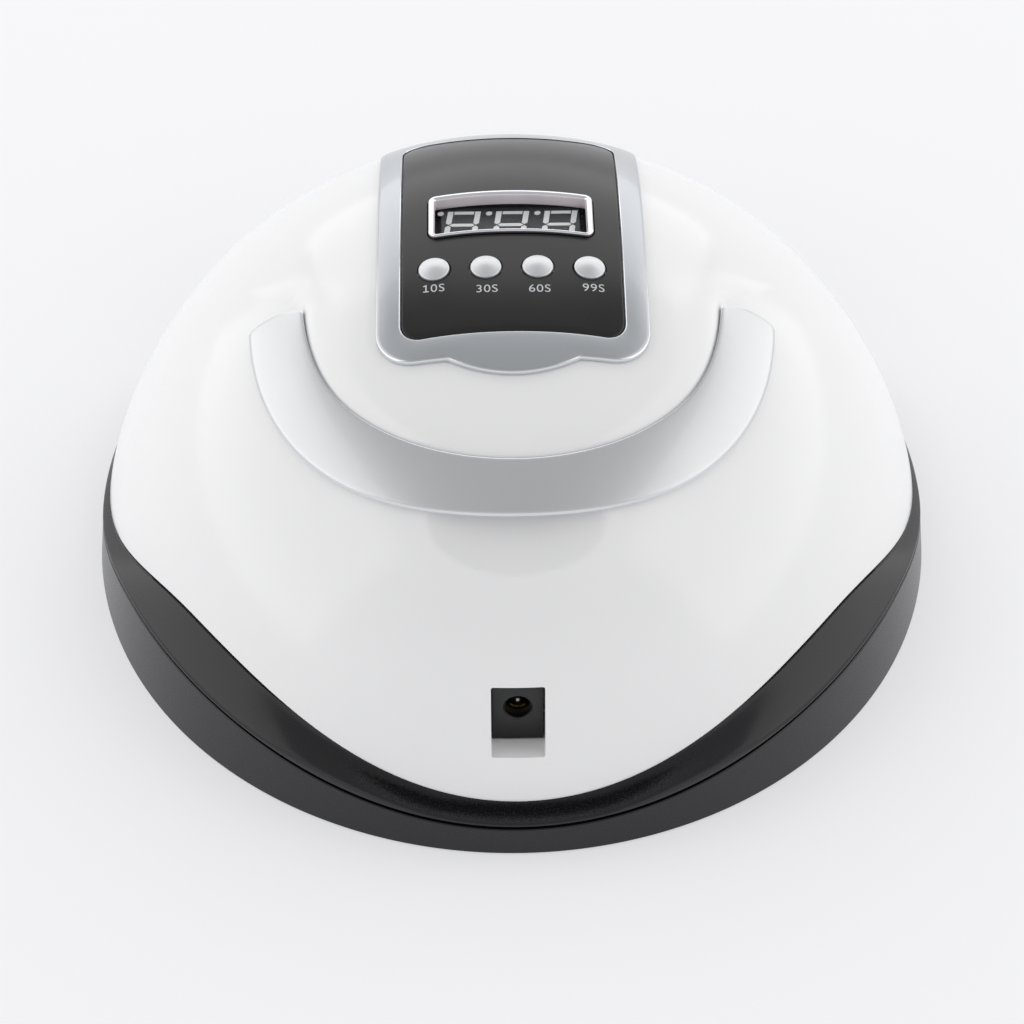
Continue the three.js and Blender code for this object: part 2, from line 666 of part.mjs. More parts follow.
// Outline of a panel with round corners, grown by a clearance; its edges arch towards the front
function archedOutline(panel, grow, backCorner, frontCorner, backArch, frontArch) {
  const halfWidth = panel.halfWidth + grow;
  const back = panel.back - grow;
  const front = panel.front + grow;
  const shape = new THREE.Shape();
  shape.moveTo(-halfWidth + backCorner, back);
  shape.quadraticCurveTo(0, back + 2 * backArch, halfWidth - backCorner, back);
  shape.absarc(halfWidth - backCorner, back + backCorner, backCorner, -quarterTurn, 0, false);
  shape.lineTo(halfWidth, front - frontCorner);
  shape.absarc(halfWidth - frontCorner, front - frontCorner, frontCorner, 0, quarterTurn, false);
  shape.quadraticCurveTo(0, front + 2 * frontArch, -halfWidth + frontCorner, front);
  shape.absarc(-halfWidth + frontCorner, front - frontCorner, frontCorner, quarterTurn, Math.PI, false);
  shape.lineTo(-halfWidth, back + backCorner);
  shape.absarc(-halfWidth + backCorner, back + backCorner, backCorner, Math.PI, 3 * quarterTurn, false);
  return shape;
}

const fasciaOutline = (grow) => archedOutline(
  fascia, grow, fascia.backCorner, fascia.frontCorner, fascia.arch, 0,
);

const buttons = [
  ['10s', -buttonX.outer], ['30s', -buttonX.inner], ['60s', buttonX.inner], ['99s', buttonX.outer],
];

function bezelOutline(inset) {
  const corner = Math.max(bezel.corner - inset, gap);
  return archedOutline(bezel, -inset, corner, corner, bezel.backArch, bezel.frontArch);
}

function makePanelFrame() {
  const cut = prism(fasciaOutline(gap), 0, dome.top + overrun);
  return topLayer(gap, frame.thick).intersect(prism(frameOutline(), 0, dome.top + overrun)).subtract(cut);
}

function makeFascia() {
  let plate = topLayer(gap, gap + fascia.thick).intersect(prism(fasciaOutline(0), 0, dome.top + overrun));
  plate = plate.subtract(prism(bezelOutline(-gap), 0, dome.top + overrun));
  for (const [, x] of buttons) {
    const hole = post(button.radius + slideGap, x, button.y, 0, dome.top + overrun, roundSides);
    plate = plate.subtract(solid(hole));
  }
  return plate;
}

function makeBezel() {
  const top = gap + fascia.thick + bezel.proud;
  const ring = prism(bezelOutline(0), 0, dome.top + overrun).subtract(
    prism(bezelOutline(bezel.wall), -overrun, dome.top + 2 * overrun),
  );
  return topLayer(-bezel.depth, top).intersect(ring);
}

const topShell = makeTopShell();
addPiece('top_shell', geometryOf(topShell), looks.whiteGloss);
addPiece('lower_skirt', geometryOf(makeSkirt()), looks.darkSatin);
addPiece('base_rim', geometryOf(makeRim()), looks.darkSatin);
addPiece('handle_trim', geometryOf(makeArc()), looks.silver);
addPiece('panel_frame', geometryOf(makePanelFrame()), looks.silver);
addPiece('control_fascia', geometryOf(makeFascia()), looks.blackGloss);
addPiece('display_bezel', geometryOf(makeBezel()), looks.chrome);

// Display module and its lens, tilted with the dome
const displayY = (bezel.back + bezel.front) / 2;
const displayGroup = new THREE.Group();
displayGroup.position.set(0, displayY, heightAt(raisedDome, 0, displayY) - lens.drop);
displayGroup.rotation.x = toRadians(displayTilt);
root.add(displayGroup);
const lensPlate = prism(bezelOutline(bezel.wall + gap), -lens.thick, 0).translate([0, -displayY, 0]);
addPiece('display_lens', geometryOf(lensPlate), looks.smokedClear, displayGroup);
const moduleTop = -lens.thick - gap;
const moduleHalfWidth = bezel.halfWidth - bezel.wall - display.side;
const moduleBack = bezel.back + bezel.wall + bezel.backArch + gap;
const moduleFront = bezel.front - bezel.wall - gap;
const moduleBlock = block(
  -moduleHalfWidth, moduleHalfWidth, moduleBack - displayY, moduleFront - displayY,
  moduleTop - display.height, moduleTop,
);
addPiece('display_module', moduleBlock, looks.blackMatte, displayGroup);

// Control board, with a screw up into each post of the housing
function makeControlBoard() {
  let plate = solid(block(
    -board.halfWidth, board.halfWidth, board.back, board.front, board.top - board.thick, board.top,
  ));
  for (const [x, y] of boardPosts) {
    const hole = post(boardScrew.shaft + gap, x, y, board.top - overrun, board.top + overrun);
    plate = plate.subtract(solid(hole));
  }
  return plate;
}
addPiece('control_board', geometryOf(makeControlBoard()), looks.boardGreen);

// Screw with its head at the bottom
function screwGeometry(head, headThick, shaft, length) {
  const profile = [
    [0, 0], [head, 0], [head, headThick], [shaft, headThick], [shaft, length], [0, length],
  ].map(([radius, z]) => new THREE.Vector2(radius, z));
  return new THREE.LatheGeometry(profile, smallSides).rotateX(quarterTurn);
}

boardPosts.forEach(([x, y], i) => {
  const length = board.thick + gap + boardScrew.headThick + boardScrew.length - 2 * gap;
  const screw = screwGeometry(boardScrew.head, boardScrew.headThick, boardScrew.shaft, length);
  const mesh = addPiece(`board_screw_${i + 1}`, screw, looks.steel);
  mesh.position.set(x, y, board.top - board.thick - gap - boardScrew.headThick);
});

// Buttons, and under each one its plunger in a switch on the board
for (const [time, x] of buttons) {
  const fasciaLow = heightAt(raisedDome, x, button.y) + gap;
  const fasciaTop = fasciaLow + fascia.thick;
  const plungerTop = board.top + gap + switchBody.height + switchBody.plungerProud;
  const reach = Math.abs(x) + button.flangeRadius;
  const flangeTop = heightAt(raisedDome, reach, button.y - button.flangeRadius) - slideGap;
  const rim = fasciaTop + button.proud - button.domeRise;
  const profile = [
    [0, plungerTop + gap],
    [button.stemRadius, plungerTop + gap],
    [button.stemRadius, flangeTop - button.flangeThick],
    [button.flangeRadius, flangeTop - button.flangeThick],
    [button.flangeRadius, flangeTop],
    [button.radius, flangeTop],
  ].map(([radius, z]) => new THREE.Vector2(radius, z));
  for (let i = 0; i <= buttonCrownSteps; i += 1) {
    const angle = quarterTurn * i / buttonCrownSteps;
    const radius = i < buttonCrownSteps ? button.radius * Math.cos(angle) : 0;
    profile.push(new THREE.Vector2(radius, rim + button.domeRise * Math.sin(angle)));
  }
  const cap = new THREE.LatheGeometry(profile, roundSides).rotateX(quarterTurn);
  addPiece(`button_${time}`, cap, looks.silver).position.set(x, button.y, 0);

  const bodyLow = board.top + gap;
  const bodyTop = bodyLow + switchBody.height;
  const well = bodyTop - switchBody.plungerInside - button.travel - slideGap;
  const half = switchBody.size / 2;
  let body = solid(block(-half, half, -half, half, bodyLow, bodyTop));
  body = body.subtract(solid(post(switchBody.plungerRadius + slideGap, 0, 0, well, bodyTop + overrun)));
  addPiece(`switch_${time}`, geometryOf(body), looks.blackMatte).position.set(x, button.y, 0);
  const plunger = post(switchBody.plungerRadius, 0, 0, bodyTop - switchBody.plungerInside, plungerTop);
  addPiece(`plunger_${time}`, plunger, looks.blackMatte).position.set(x, button.y, 0);
}

// Power socket, laid out in the socket's own group
function makeSocket() {
  const halfWidth = socket.halfWidth - gap;
  let plate = solid(block(-halfWidth, halfWidth, -socket.below + gap, socket.above - gap, -socket.plate, 0));
  plate = plate.subtract(solid(post(socket.hole, 0, 0, -overrun, overrun, roundSides)));
  addPiece('socket_plate', geometryOf(plate), looks.blackMatte, socketGroup);

  const front = -socket.plate - gap;
  let body = solid(block(
    -socket.bodyHalfWidth, socket.bodyHalfWidth, -socket.bodyHalfHeight, socket.bodyHalfHeight,
    front - socket.bodyDepth, front,
  ));
  body = body.subtract(solid(post(socket.bore, 0, 0, front - socket.boreDepth, overrun, roundSides)));
  addPiece('socket_body', geometryOf(body), looks.blackMatte, socketGroup);

  const floor = front - socket.boreDepth + gap;
  const profile = [
    [0, floor], [socket.pin, floor], [socket.pin, floor + socket.pinLength - socket.pin / 2],
    [socket.pin / 2, floor + socket.pinLength], [0, floor + socket.pinLength],
  ].map(([radius, z]) => new THREE.Vector2(radius, z));
  const pin = new THREE.LatheGeometry(profile, smallSides).rotateX(quarterTurn);
  addPiece('socket_pin', pin, looks.steel, socketGroup);

  const outer = socket.bore - gap;
  const inner = outer - socket.contactThick;
  const tip = floor + socket.contactLength;
  const contact = sweepRound(
    () => [[inner, floor], [outer, floor], [outer, tip], [inner, tip]],
    -contactHalfTurn, contactHalfTurn, smallSides,
  );
  addPiece('socket_contact', contact, looks.brass, socketGroup);
}
makeSocket();

// Power board on two posts of the base, with a capacitor and a choke
addPiece(
  'driver_board',
  block(-driver.halfWidth, driver.halfWidth, driver.back, driver.front, driver.low, driver.low + driver.thick),
  looks.boardGreen,
);
const driverY = (driver.back + driver.front) / 2;
const partLow = driver.low + driver.thick + gap;
addPiece(
  'driver_capacitor', post(capacitor.radius, capacitor.x, driverY, partLow, partLow + capacitor.height),
  looks.sleeveBlue,
);
const chokeRing = new THREE.TorusGeometry(choke.ring, choke.wire, beadSides, smallSides);
addPiece('driver_choke', chokeRing.translate(choke.x, driverY, partLow + choke.wire), looks.brass);

// Reflecting lining, with a foot that rests on the base flange
function makeLiner() {
  const low = base.flangeLow + base.flangeThick + gap;
  const outer = solid(domeGeometry(liner, low, linerSteps, linerRings));
  const hollow = solid(domeGeometry(linerInner, low - overrun, linerSteps, linerRings));
  const foot = sweepRound((turn) => {
    const radius = radiusAt(liner, turn, dome.foot);
    const near = radius - sink;
    const far = radius + liner.footWidth;
    return [[near, low], [far, low], [far, low + liner.footThick], [near, low + liner.footThick]];
  }, -180, 180, linerSteps);
  const footRing = solid(foot);
  return outer.subtract(hollow).add(footRing).subtract(mouthTunnel(gap + mouthTrim.wall + gap, -overrun));
}
addPiece('inner_reflector', geometryOf(makeLiner()), looks.reflector);

// Arched frame that joins the lining to the housing round the hand opening
function makeMouthTrim() {
  const ring = mouthTunnel(gap, mouthTrim.foot).subtract(mouthTunnel(gap + mouthTrim.wall, -overrun));
  const skin = domeSurface(mouthTrim.proud, plateau.rise);
  const inside = solid(domeGeometry(skin, 0, domeSteps, domeRings));
  const cut = solid(domeGeometry(linerClear, -overrun, linerSteps, linerRings));
  const footCut = solid(sweepRound((turn) => {
    const radius = radiusAt(liner, turn, dome.foot);
    const near = radius - overrun;
    const far = radius + liner.footWidth + gap;
    const roof = base.flangeLow + base.flangeThick + gap + liner.footThick + gap;
    return [[near, -overrun], [far, -overrun], [far, roof], [near, roof]];
  }, -180, 180, linerSteps));
  let trim = ring.intersect(inside).subtract(cut).subtract(footCut);
  for (const side of [-1, 1]) {
    const hole = new THREE.CylinderGeometry(sensor.radius + gap, sensor.radius + gap, overrun, smallSides);
    hole.rotateZ(quarterTurn).translate(side * mouth.halfWidth, sensor.y, sensor.z);
    trim = trim.subtract(solid(hole));
  }
  return trim;
}
addPiece('mouth_trim', geometryOf(makeMouthTrim()), looks.whiteGloss);

// Hand sensors that look across the opening
for (const [name, side] of [['hand_sensor_left', -1], ['hand_sensor_right', 1]]) {
  const profile = [
    [0, 0], [sensor.radius, 0], [sensor.radius, sensor.length],
    [sensor.radius / 2, sensor.length + sensor.dome], [0, sensor.length + sensor.dome],
  ].map(([radius, z]) => new THREE.Vector2(radius, z));
  const eye = new THREE.LatheGeometry(profile, smallSides).rotateZ(quarterTurn * side);
  const x = side * (mouth.halfWidth - gap);
  addPiece(name, eye, looks.blackGloss).position.set(x, sensor.y, sensor.z);
}

// Light strip bent round the lining, with beads that face the hand
function makeStrip(z, half, beads, tilt) {
  const low = z - strip.height / 2;
  const high = z + strip.height / 2;
  const at = (turn, height, inset) => radiusAt(linerClearInner, turn, height) - inset;
  let body = solid(sweepRound((turn) => [
    [at(turn, low, strip.thick), low], [at(turn, low, -strip.thick), low],
    [at(turn, high, -strip.thick), high], [at(turn, high, strip.thick), high],
  ], -half, half, stripSteps));
  for (let i = 0; i < beads; i += 1) {
    const share = (i + 0.5) / beads;
    const turn = -half + 2 * half * share;
    const length = sink + strip.beadRise;
    const bead = new THREE.CylinderGeometry(strip.bead, strip.bead, length, beadSides);
    bead.translate(0, length / 2, 0).rotateX(-toRadians(tilt));
    bead.translate(0, -at(turn, z, strip.thick - sink), 0).rotateZ(toRadians(turn)).translate(0, 0, z);
    body = body.add(solid(bead));
  }
  return body.intersect(solid(domeGeometry(linerClearInner, 0, linerSteps, linerRings)));
}
addPiece(
  'led_strip_lower',
  geometryOf(makeStrip(lowerStrip.z, lowerStripTurns.half, lowerStripTurns.beads, 0)), looks.boardWhite,
);
addPiece(
  'led_strip_upper',
  geometryOf(makeStrip(upperStrip.z, upperStripTurns.half, upperStripTurns.beads, upperBeadTilt)),
  looks.boardWhite,
);

// Ring of lights under the top of the lining
function makeTopStrip() {
  const roof = heightAt(linerInner, topStrip.outer, dome.crown) - topStrip.drop;
  let body = solid(sweepRound(
    () => [
      [topStrip.inner, roof - strip.thick], [topStrip.outer, roof - strip.thick],
      [topStrip.outer, roof], [topStrip.inner, roof],
    ], -180, 180, roundSides, dome.crown,
  ));
  const radius = (topStrip.inner + topStrip.outer) / 2;
  for (let i = 0; i < topStripTurns.beads; i += 1) {
    const angle = 2 * Math.PI * i / topStripTurns.beads;
    const x = radius * Math.sin(angle);
    const y = dome.crown - radius * Math.cos(angle);
    const low = roof - strip.thick - strip.beadRise;
    body = body.add(solid(post(strip.bead, x, y, low, roof - strip.thick / 2, beadSides)));
  }
  return body;
}
addPiece('led_strip_top', geometryOf(makeTopStrip()), looks.boardWhite);

// Base tray with a low front lip, and pockets for the plates that the magnets hold
function makeTray() {
  const top = tray.low + tray.thick;
  const radius = baseRadius(base.clearance) - base.wall - tray.gap;
  let plate = solid(post(radius, 0, 0, tray.low, top, baseSteps));
  const tongue = solid(post(base.radius, 0, 0, tray.low, tray.lip, baseSteps));
  const hollow = solid(post(base.radius - tray.lipWall, 0, 0, top, tray.lip + overrun, baseSteps));
  const front = solid(block(
    -tray.frontHalfWidth, tray.frontHalfWidth, mouth.start, mouth.end, -overrun, overrun,
  ));
  plate = plate.add(tongue.subtract(hollow).intersect(front));
  for (const [x, y] of magnetPlaces) {
    const pocket = post(magnet.radius + gap, x, y, top - magnet.thick, top + overrun, roundSides);
    plate = plate.subtract(solid(pocket));
  }
  for (const [x, y] of footPlaces) {
    const pocket = post(foot.radius + gap, x, y, -overrun, foot.thick + foot.inset, roundSides);
    plate = plate.subtract(solid(pocket));
  }
  return plate;
}
addPiece('base_tray', geometryOf(makeTray()), looks.darkSatin);

footPlaces.forEach(([x, y], i) => {
  addPiece(`rubber_foot_${i + 1}`, post(foot.radius, 0, 0, 0, foot.thick, roundSides), looks.rubber)
    .position.set(x, y, 0);
});
magnetPlaces.forEach(([x, y], i) => {
  const disc = () => post(magnet.radius, 0, 0, 0, magnet.thick - gap, roundSides);
  addPiece(`magnet_${i + 1}`, disc(), looks.magnetNickel).position.set(x, y, base.flangeLow + gap);
  const plateLow = tray.low + tray.thick - magnet.thick + gap;
  addPiece(`catch_plate_${i + 1}`, disc(), looks.steel).position.set(x, y, plateLow);
});
baseScrewPlaces.forEach(([x, y], i) => {
  const screw = screwGeometry(
    baseScrew.head, baseScrew.headThick, baseScrew.shaft, base.flangeThick + baseScrew.length - gap,
  );
  addPiece(`base_screw_${i + 1}`, screw, looks.steel).position.set(x, y, base.flangeLow + gap);
});

export default root;
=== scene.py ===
# LED nail lamp. Lengths in the dictionaries are millimetres in the frame of the CAD, +Z up,
# the power socket on the -Y side. A turn is measured in degrees from the back, -Y.
from math import acos, asin, atan2, cos, hypot, pi, radians, sin, sqrt

import bmesh
import bpy
from mathutils import Matrix, Vector
from mathutils.kdtree import KDTree


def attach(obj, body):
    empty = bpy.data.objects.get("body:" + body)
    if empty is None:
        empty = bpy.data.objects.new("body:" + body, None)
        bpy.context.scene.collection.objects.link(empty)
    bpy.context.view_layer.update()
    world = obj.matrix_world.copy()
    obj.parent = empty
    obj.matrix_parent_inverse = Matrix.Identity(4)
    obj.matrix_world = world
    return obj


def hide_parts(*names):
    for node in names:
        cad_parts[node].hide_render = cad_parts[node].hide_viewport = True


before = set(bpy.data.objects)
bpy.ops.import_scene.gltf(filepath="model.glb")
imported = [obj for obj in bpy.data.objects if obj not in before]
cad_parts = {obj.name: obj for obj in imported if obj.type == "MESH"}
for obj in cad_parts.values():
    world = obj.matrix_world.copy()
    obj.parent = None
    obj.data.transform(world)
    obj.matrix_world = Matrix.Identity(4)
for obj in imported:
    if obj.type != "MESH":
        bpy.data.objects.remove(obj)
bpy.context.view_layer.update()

mm = 0.001
below = -5  # under every piece
through = 30  # half the depth of a cutter that goes through a wall
mergeDistance = 1e-6


# colours, nodes and materials

def linear(hexColour):
    channels = [int(hexColour[i:i + 2], 16) / 255 for i in (1, 3, 5)]
    return [c / 12.92 if c <= 0.04045 else ((c + 0.055) / 1.055) ** 2.4 for c in channels] + [1.0]


def addNode(tree, kind, inputs=None, **settings):
    node = tree.nodes.new(kind)
    for name, value in settings.items():
        setattr(node, name, value)
    for name, value in (inputs or {}).items():
        if isinstance(value, bpy.types.NodeSocket):
            tree.links.new(value, node.inputs[name])
        else:
            node.inputs[name].default_value = value
    return node


# A surface on Object coordinates: clouds mix two colours, and a finer grain varies the roughness
# round its middle value and gives the bump. Clouds, grain and bump are in mm.
def makeMaterial(name, colours, cloud, grain, bump, rough, metal=0.0, fixed={}):
    material = bpy.data.materials.new(name)
    material.use_nodes = True
    tree = material.node_tree
    tree.nodes.clear()
    place = addNode(tree, "ShaderNodeTexCoord").outputs["Object"]
    clouds = addNode(tree, "ShaderNodeTexNoise", {
        "Vector": place, "Scale": 1 / (cloud * mm), "Detail": 3.0, "Roughness": 0.5}).outputs["Fac"]
    tone = addNode(tree, "ShaderNodeMix", {
        "Factor": clouds, "A": linear(colours[0]), "B": linear(colours[1])}, data_type="RGBA")
    grains = addNode(tree, "ShaderNodeTexNoise", {
        "Vector": place, "Scale": 1 / (grain * mm), "Detail": 2.0, "Roughness": 0.6}).outputs["Fac"]
    middle, spread = rough
    gloss = addNode(tree, "ShaderNodeMapRange", {
        "Value": grains, "From Min": 0.3, "From Max": 0.7,
        "To Min": middle - spread, "To Max": middle + spread})
    relief = addNode(tree, "ShaderNodeBump", {"Height": grains, "Distance": bump * mm, "Strength": 1.0})
    shader = addNode(tree, "ShaderNodeBsdfPrincipled", {
        "Base Color": tone.outputs["Result"], "Roughness": gloss.outputs["Result"],
        "Normal": relief.outputs["Normal"], "Metallic": metal, **fixed})
    addNode(tree, "ShaderNodeOutputMaterial", {"Surface": shader.outputs["BSDF"]})
    return material


# Injection moulded ABS, polished tool: deep gloss with a faint slow ripple in it
glossWhiteAbs = makeMaterial("gloss white ABS", ("#ebebeb", "#f0f0ef"), cloud=60, grain=9,
    bump=0.012, rough=(0.16, 0.02), fixed={"IOR": 1.53})
# ABS from a spark eroded tool: satin, the grain is drawn at 0.5 mm so that it shows
satinCharcoalAbs = makeMaterial("satin charcoal ABS", ("#0f0f12", "#141417"), cloud=35, grain=0.5,
    bump=0.001, rough=(0.27, 0.015), fixed={"IOR": 1.47})
# Aluminium pigment lacquer over ABS under a clear coat: flakes drawn at 0.25 mm
silverLacquer = makeMaterial("silver lacquer", ("#cacccc", "#d0d1d1"), cloud=20, grain=0.25,
    bump=0.0008, rough=(0.38, 0.02), metal=0.92, fixed={"Coat Weight": 0.6, "Coat Roughness": 0.05})
# The same lacquer on the panel frame, painted darker as shade, since the frame catches less light than the
# arc
shadedPanelLacquer = makeMaterial("silver lacquer of the panel, painted shade", ("#b1b5b8", "#b7babd"), cloud=20, grain=0.25,
    bump=0.0008, rough=(0.36, 0.02), metal=0.92, fixed={"Coat Weight": 0.6, "Coat Roughness": 0.05})
# Narrow edges of the silver trims, polished after lacquering: a thin bright line
polishedEdge = makeMaterial("polished lacquer edge", ("#d4d7da", "#dcdee0"), cloud=20, grain=0.4,
    bump=0.0005, rough=(0.12, 0.01), metal=1.0)
# Bright decorative chromium plate on ABS: mirror with a slight ripple from the moulding
chromePlate = makeMaterial("chromium plate", ("#e2e2e6", "#ebebee"), cloud=12, grain=4,
    bump=0.006, rough=(0.1, 0.03), metal=1.0)
# Cast acrylic, back printed black: sharp reflection, black depth
blackAcrylic = makeMaterial("black acrylic", ("#0c0b0b", "#11100f"), cloud=30, grain=14,
    bump=0.006, rough=(0.24, 0.02), fixed={"IOR": 1.49})
# Vacuum metallised caps under a satin clear lacquer
metallisedCap = makeMaterial("metallised cap", ("#ced0d2", "#d6d7d8"), cloud=3, grain=0.22,
    bump=0.0008, rough=(0.48, 0.02), metal=0.92, fixed={"Coat Weight": 0.4, "Coat Roughness": 0.1})
# Satin silver paint on the inner wall of the bezel
silverPaint = makeMaterial("satin silver paint", ("#e4dce0", "#ece5e8"), cloud=6, grain=0.3,
    bump=0.003, rough=(0.5, 0.05), metal=0.3)
# General black moulding, fine matt tool texture
mouldedBlack = makeMaterial("moulded black nylon", ("#0c0c0d", "#121213"), cloud=8, grain=0.35,
    bump=0.01, rough=(0.42, 0.06), fixed={"IOR": 1.53})
# Zinc plated screws and plates: grey metal with a spangle drawn at 1.5 mm
zincSteel = makeMaterial("zinc plated steel", ("#93969b", "#a9acb0"), cloud=1.5, grain=0.4,
    bump=0.006, rough=(0.34, 0.08), metal=1.0)
# Rolled spring brass
springBrass = makeMaterial("spring brass", ("#a38a5a", "#b8a070"), cloud=2, grain=0.3,
    bump=0.004, rough=(0.3, 0.06), metal=1.0)
# Moulded rubber feet, dusty matt
footRubber = makeMaterial("moulded rubber", ("#151515", "#222120"), cloud=4, grain=0.4,
    bump=0.03, rough=(0.85, 0.08))
# Nickel plate on sintered magnets
nickelPlate = makeMaterial("nickel plate", ("#b0aea9", "#c0beb8"), cloud=3, grain=1,
    bump=0.003, rough=(0.2, 0.05), metal=1.0)
# Solder mask over glass cloth: the weave drawn at 0.6 mm
greenMask = makeMaterial("green solder mask", ("#154a2c", "#1f6a3d"), cloud=5, grain=0.6,
    bump=0.01, rough=(0.35, 0.08), fixed={"IOR": 1.55})
# White solder mask on the light boards
whiteMask = makeMaterial("white solder mask", ("#dcdcd6", "#e6e6e1"), cloud=6, grain=0.6,
    bump=0.008, rough=(0.4, 0.08), fixed={"IOR": 1.55})
# Vacuum metallised polycarbonate lining with an orange peel of 3 mm
reflectorFilm = makeMaterial("metallised polycarbonate", ("#cfd2d4", "#dadcde"), cloud=40, grain=3,
    bump=0.02, rough=(0.24, 0.05), metal=0.7)
# Clear epoxy over a yellow phosphor
diodeEpoxy = makeMaterial("phosphor epoxy", ("#dcc25c", "#e8d684"), cloud=1.2, grain=0.5,
    bump=0.004, rough=(0.15, 0.03), fixed={"Coat Weight": 1.0, "Coat Roughness": 0.04})
# White thermoplastic of the diode packages and the unlit segments
diodeWhite = makeMaterial("reflector white thermoplastic", ("#f0f2f2", "#f6f7f7"), cloud=2, grain=0.3,
    bump=0.004, rough=(0.45, 0.06))
# Dark grey potting round the segments
greyPotting = makeMaterial("grey display potting", ("#303434", "#3a3f3f"), cloud=4, grain=0.4,
    bump=0.004, rough=(0.4, 0.06))
# PVC sleeve of the capacitor, shrunk and shiny
blueSleeve = makeMaterial("blue PVC sleeve", ("#16234a", "#1f2f5c"), cloud=4, grain=0.8,
    bump=0.01, rough=(0.3, 0.05))
# Enamelled copper wire: fine turns drawn as a 0.8 mm grain
enamelCopper = makeMaterial("enamelled copper", ("#8a4a22", "#b5682f"), cloud=0.9, grain=0.8,
    bump=0.12, rough=(0.3, 0.06), metal=0.8)
# Screen print, light grey
labelInk = makeMaterial("light grey screen ink", ("#c2c4c7", "#cccdd0"), cloud=1.5, grain=0.2,
    bump=0.003, rough=(0.5, 0.06))
# Cast acrylic tinted grey: most of what lies behind it shows through
smokedAcrylic = makeMaterial("smoked acrylic", ("#262527", "#2c2b2d"), cloud=10, grain=6,
    bump=0.004, rough=(0.05, 0.01), fixed={"IOR": 1.49, "Alpha": 0.06})
smokedAcrylic.surface_render_method = "BLENDED"
print("materials ready")


# form of the housing and the base

dome = {
    "halfWidth": 115, "back": 112, "front": 115, "top": 100, "crown": 5, "foot": 10, "wall": 2.4,
    "riseShare": 1.5, "spreadShare": 2.65, "raised": 2.6,
}
liner = {"halfWidth": 101, "back": 84, "front": 101, "top": 84, "wall": 1.6}
base = {"radius": 117.5, "lean": 0.11, "clearance": 0.4, "wall": 3, "seamGap": 1.1, "frontHalfWidth": 90,
        "frontGap": 0.3, "columns": 360}
shellEdge = {"back": 14.6, "crest": 34.2, "side": 16, "front": 13, "turns": (54, 95, 126)}
seam = {"back": 9.6, "crest": 24, "side": 12.5, "front": 9.5, "turns": (63, 95, 126)}
crown, foot = dome["crown"], dome["foot"]


def grown(surface, grow, rise=0):
    return {
        "halfWidth": surface["halfWidth"] + grow, "back": surface["back"] + grow,
        "front": surface["front"] + grow, "top": surface["top"] + grow + rise,
    }


def ease(share):
    return sin(min(max(share, 0), 1) * pi / 2) ** 2


def mixOf(a, b, share):
    return a + (b - a) * share


# Even steps from a on, without b itself
def stepsOf(a, b, count):
    return [mixOf(a, b, k / count) for k in range(count)]


def waveHeight(line, degrees):
    turn = abs(degrees)
    crest, side, front = line["turns"]
    height = mixOf(line["back"], line["crest"], ease(turn / crest))
    height += (line["side"] - line["crest"]) * ease((turn - crest) / (side - crest))
    return height + (line["front"] - line["side"]) * ease((turn - side) / (front - side))


def reachOf(surface, along):
    return surface["back"] + crown if along < 0 else surface["front"] - crown


def heightAt(surface, x, y):
    spread = hypot(x / surface["halfWidth"], (y - crown) / reachOf(surface, y - crown))
    climbed = max(1 - spread ** dome["spreadShare"], 0) ** (1 / dome["riseShare"])
    return foot + (surface["top"] - foot) * climbed


def spreadAt(surface, z):
    climbed = min(max((z - foot) / (surface["top"] - foot), 0), 1)
    return (1 - climbed ** dome["riseShare"]) ** (1 / dome["spreadShare"])


def radiusAt(surface, degrees, z):
    side, along = sin(radians(degrees)), -cos(radians(degrees))
    spread = spreadAt(surface, z)
    for reach in (surface["back"] + crown, surface["front"] - crown):
        a = (side / surface["halfWidth"]) ** 2 + (along / reach) ** 2
        b = -2 * along * crown / reach ** 2
        c = (crown / reach) ** 2 - spread ** 2
        radius = (-b + sqrt(b * b - 4 * a * c)) / (2 * a)
        if (radius * along < crown) == (reach == surface["back"] + crown):
            return radius
    return radius


# A point of a dome from its angle round the crown and its lift, 0 at the foot and pi / 2 on top
def domePoint(surface, angle, lift):
    spread = max(cos(lift), 0) ** (2 / dome["spreadShare"])
    climbed = sin(lift) ** (2 / dome["riseShare"])
    x = surface["halfWidth"] * spread * sin(angle)
    y = crown - reachOf(surface, -cos(angle)) * spread * cos(angle)
    return Vector((x, y, foot + (surface["top"] - foot) * climbed))


def domeAngles(surface, x, y):
    reach = reachOf(surface, y - crown)
    across, along = x / surface["halfWidth"], (crown - y) / reach
    lift = acos(min(hypot(across, along), 1) ** (dome["spreadShare"] / 2))
    return atan2(across, along), lift


def liftAt(surface, z):
    return asin(((z - foot) / (surface["top"] - foot)) ** (dome["riseShare"] / 2))


def domeNormal(surface, point):
    reach = reachOf(surface, point.y - crown)
    spread = max(hypot(point.x / surface["halfWidth"], (point.y - crown) / reach), 1e-4)
    climbed = max((point.z - foot) / (surface["top"] - foot), 1e-4)
    steep = dome["spreadShare"] * spread ** (dome["spreadShare"] - 2)
    return Vector((
        steep * point.x / surface["halfWidth"] ** 2, steep * (point.y - crown) / reach ** 2,
        dome["riseShare"] * sqrt(climbed) / (surface["top"] - foot),
    )).normalized()


def baseRadius(z):
    return base["radius"] - base["lean"] * z


def around(turn, radius, z=0.0, centreY=0.0):
    return Vector((radius * sin(radians(turn)), centreY - radius * cos(radians(turn)), z))


outerDome = grown(dome, 0)
innerDome = grown(dome, -dome["wall"])
raisedDome = grown(dome, 0, dome["raised"])
linerInner = grown(liner, -liner["wall"])


# tools for meshes

def at(x, y, z=0):
    return Matrix.Translation((x, y, z))


def cleaned(bm):
    bmesh.ops.remove_doubles(bm, verts=bm.verts, dist=mergeDistance)
    bmesh.ops.recalc_face_normals(bm, faces=bm.faces)
    return bm


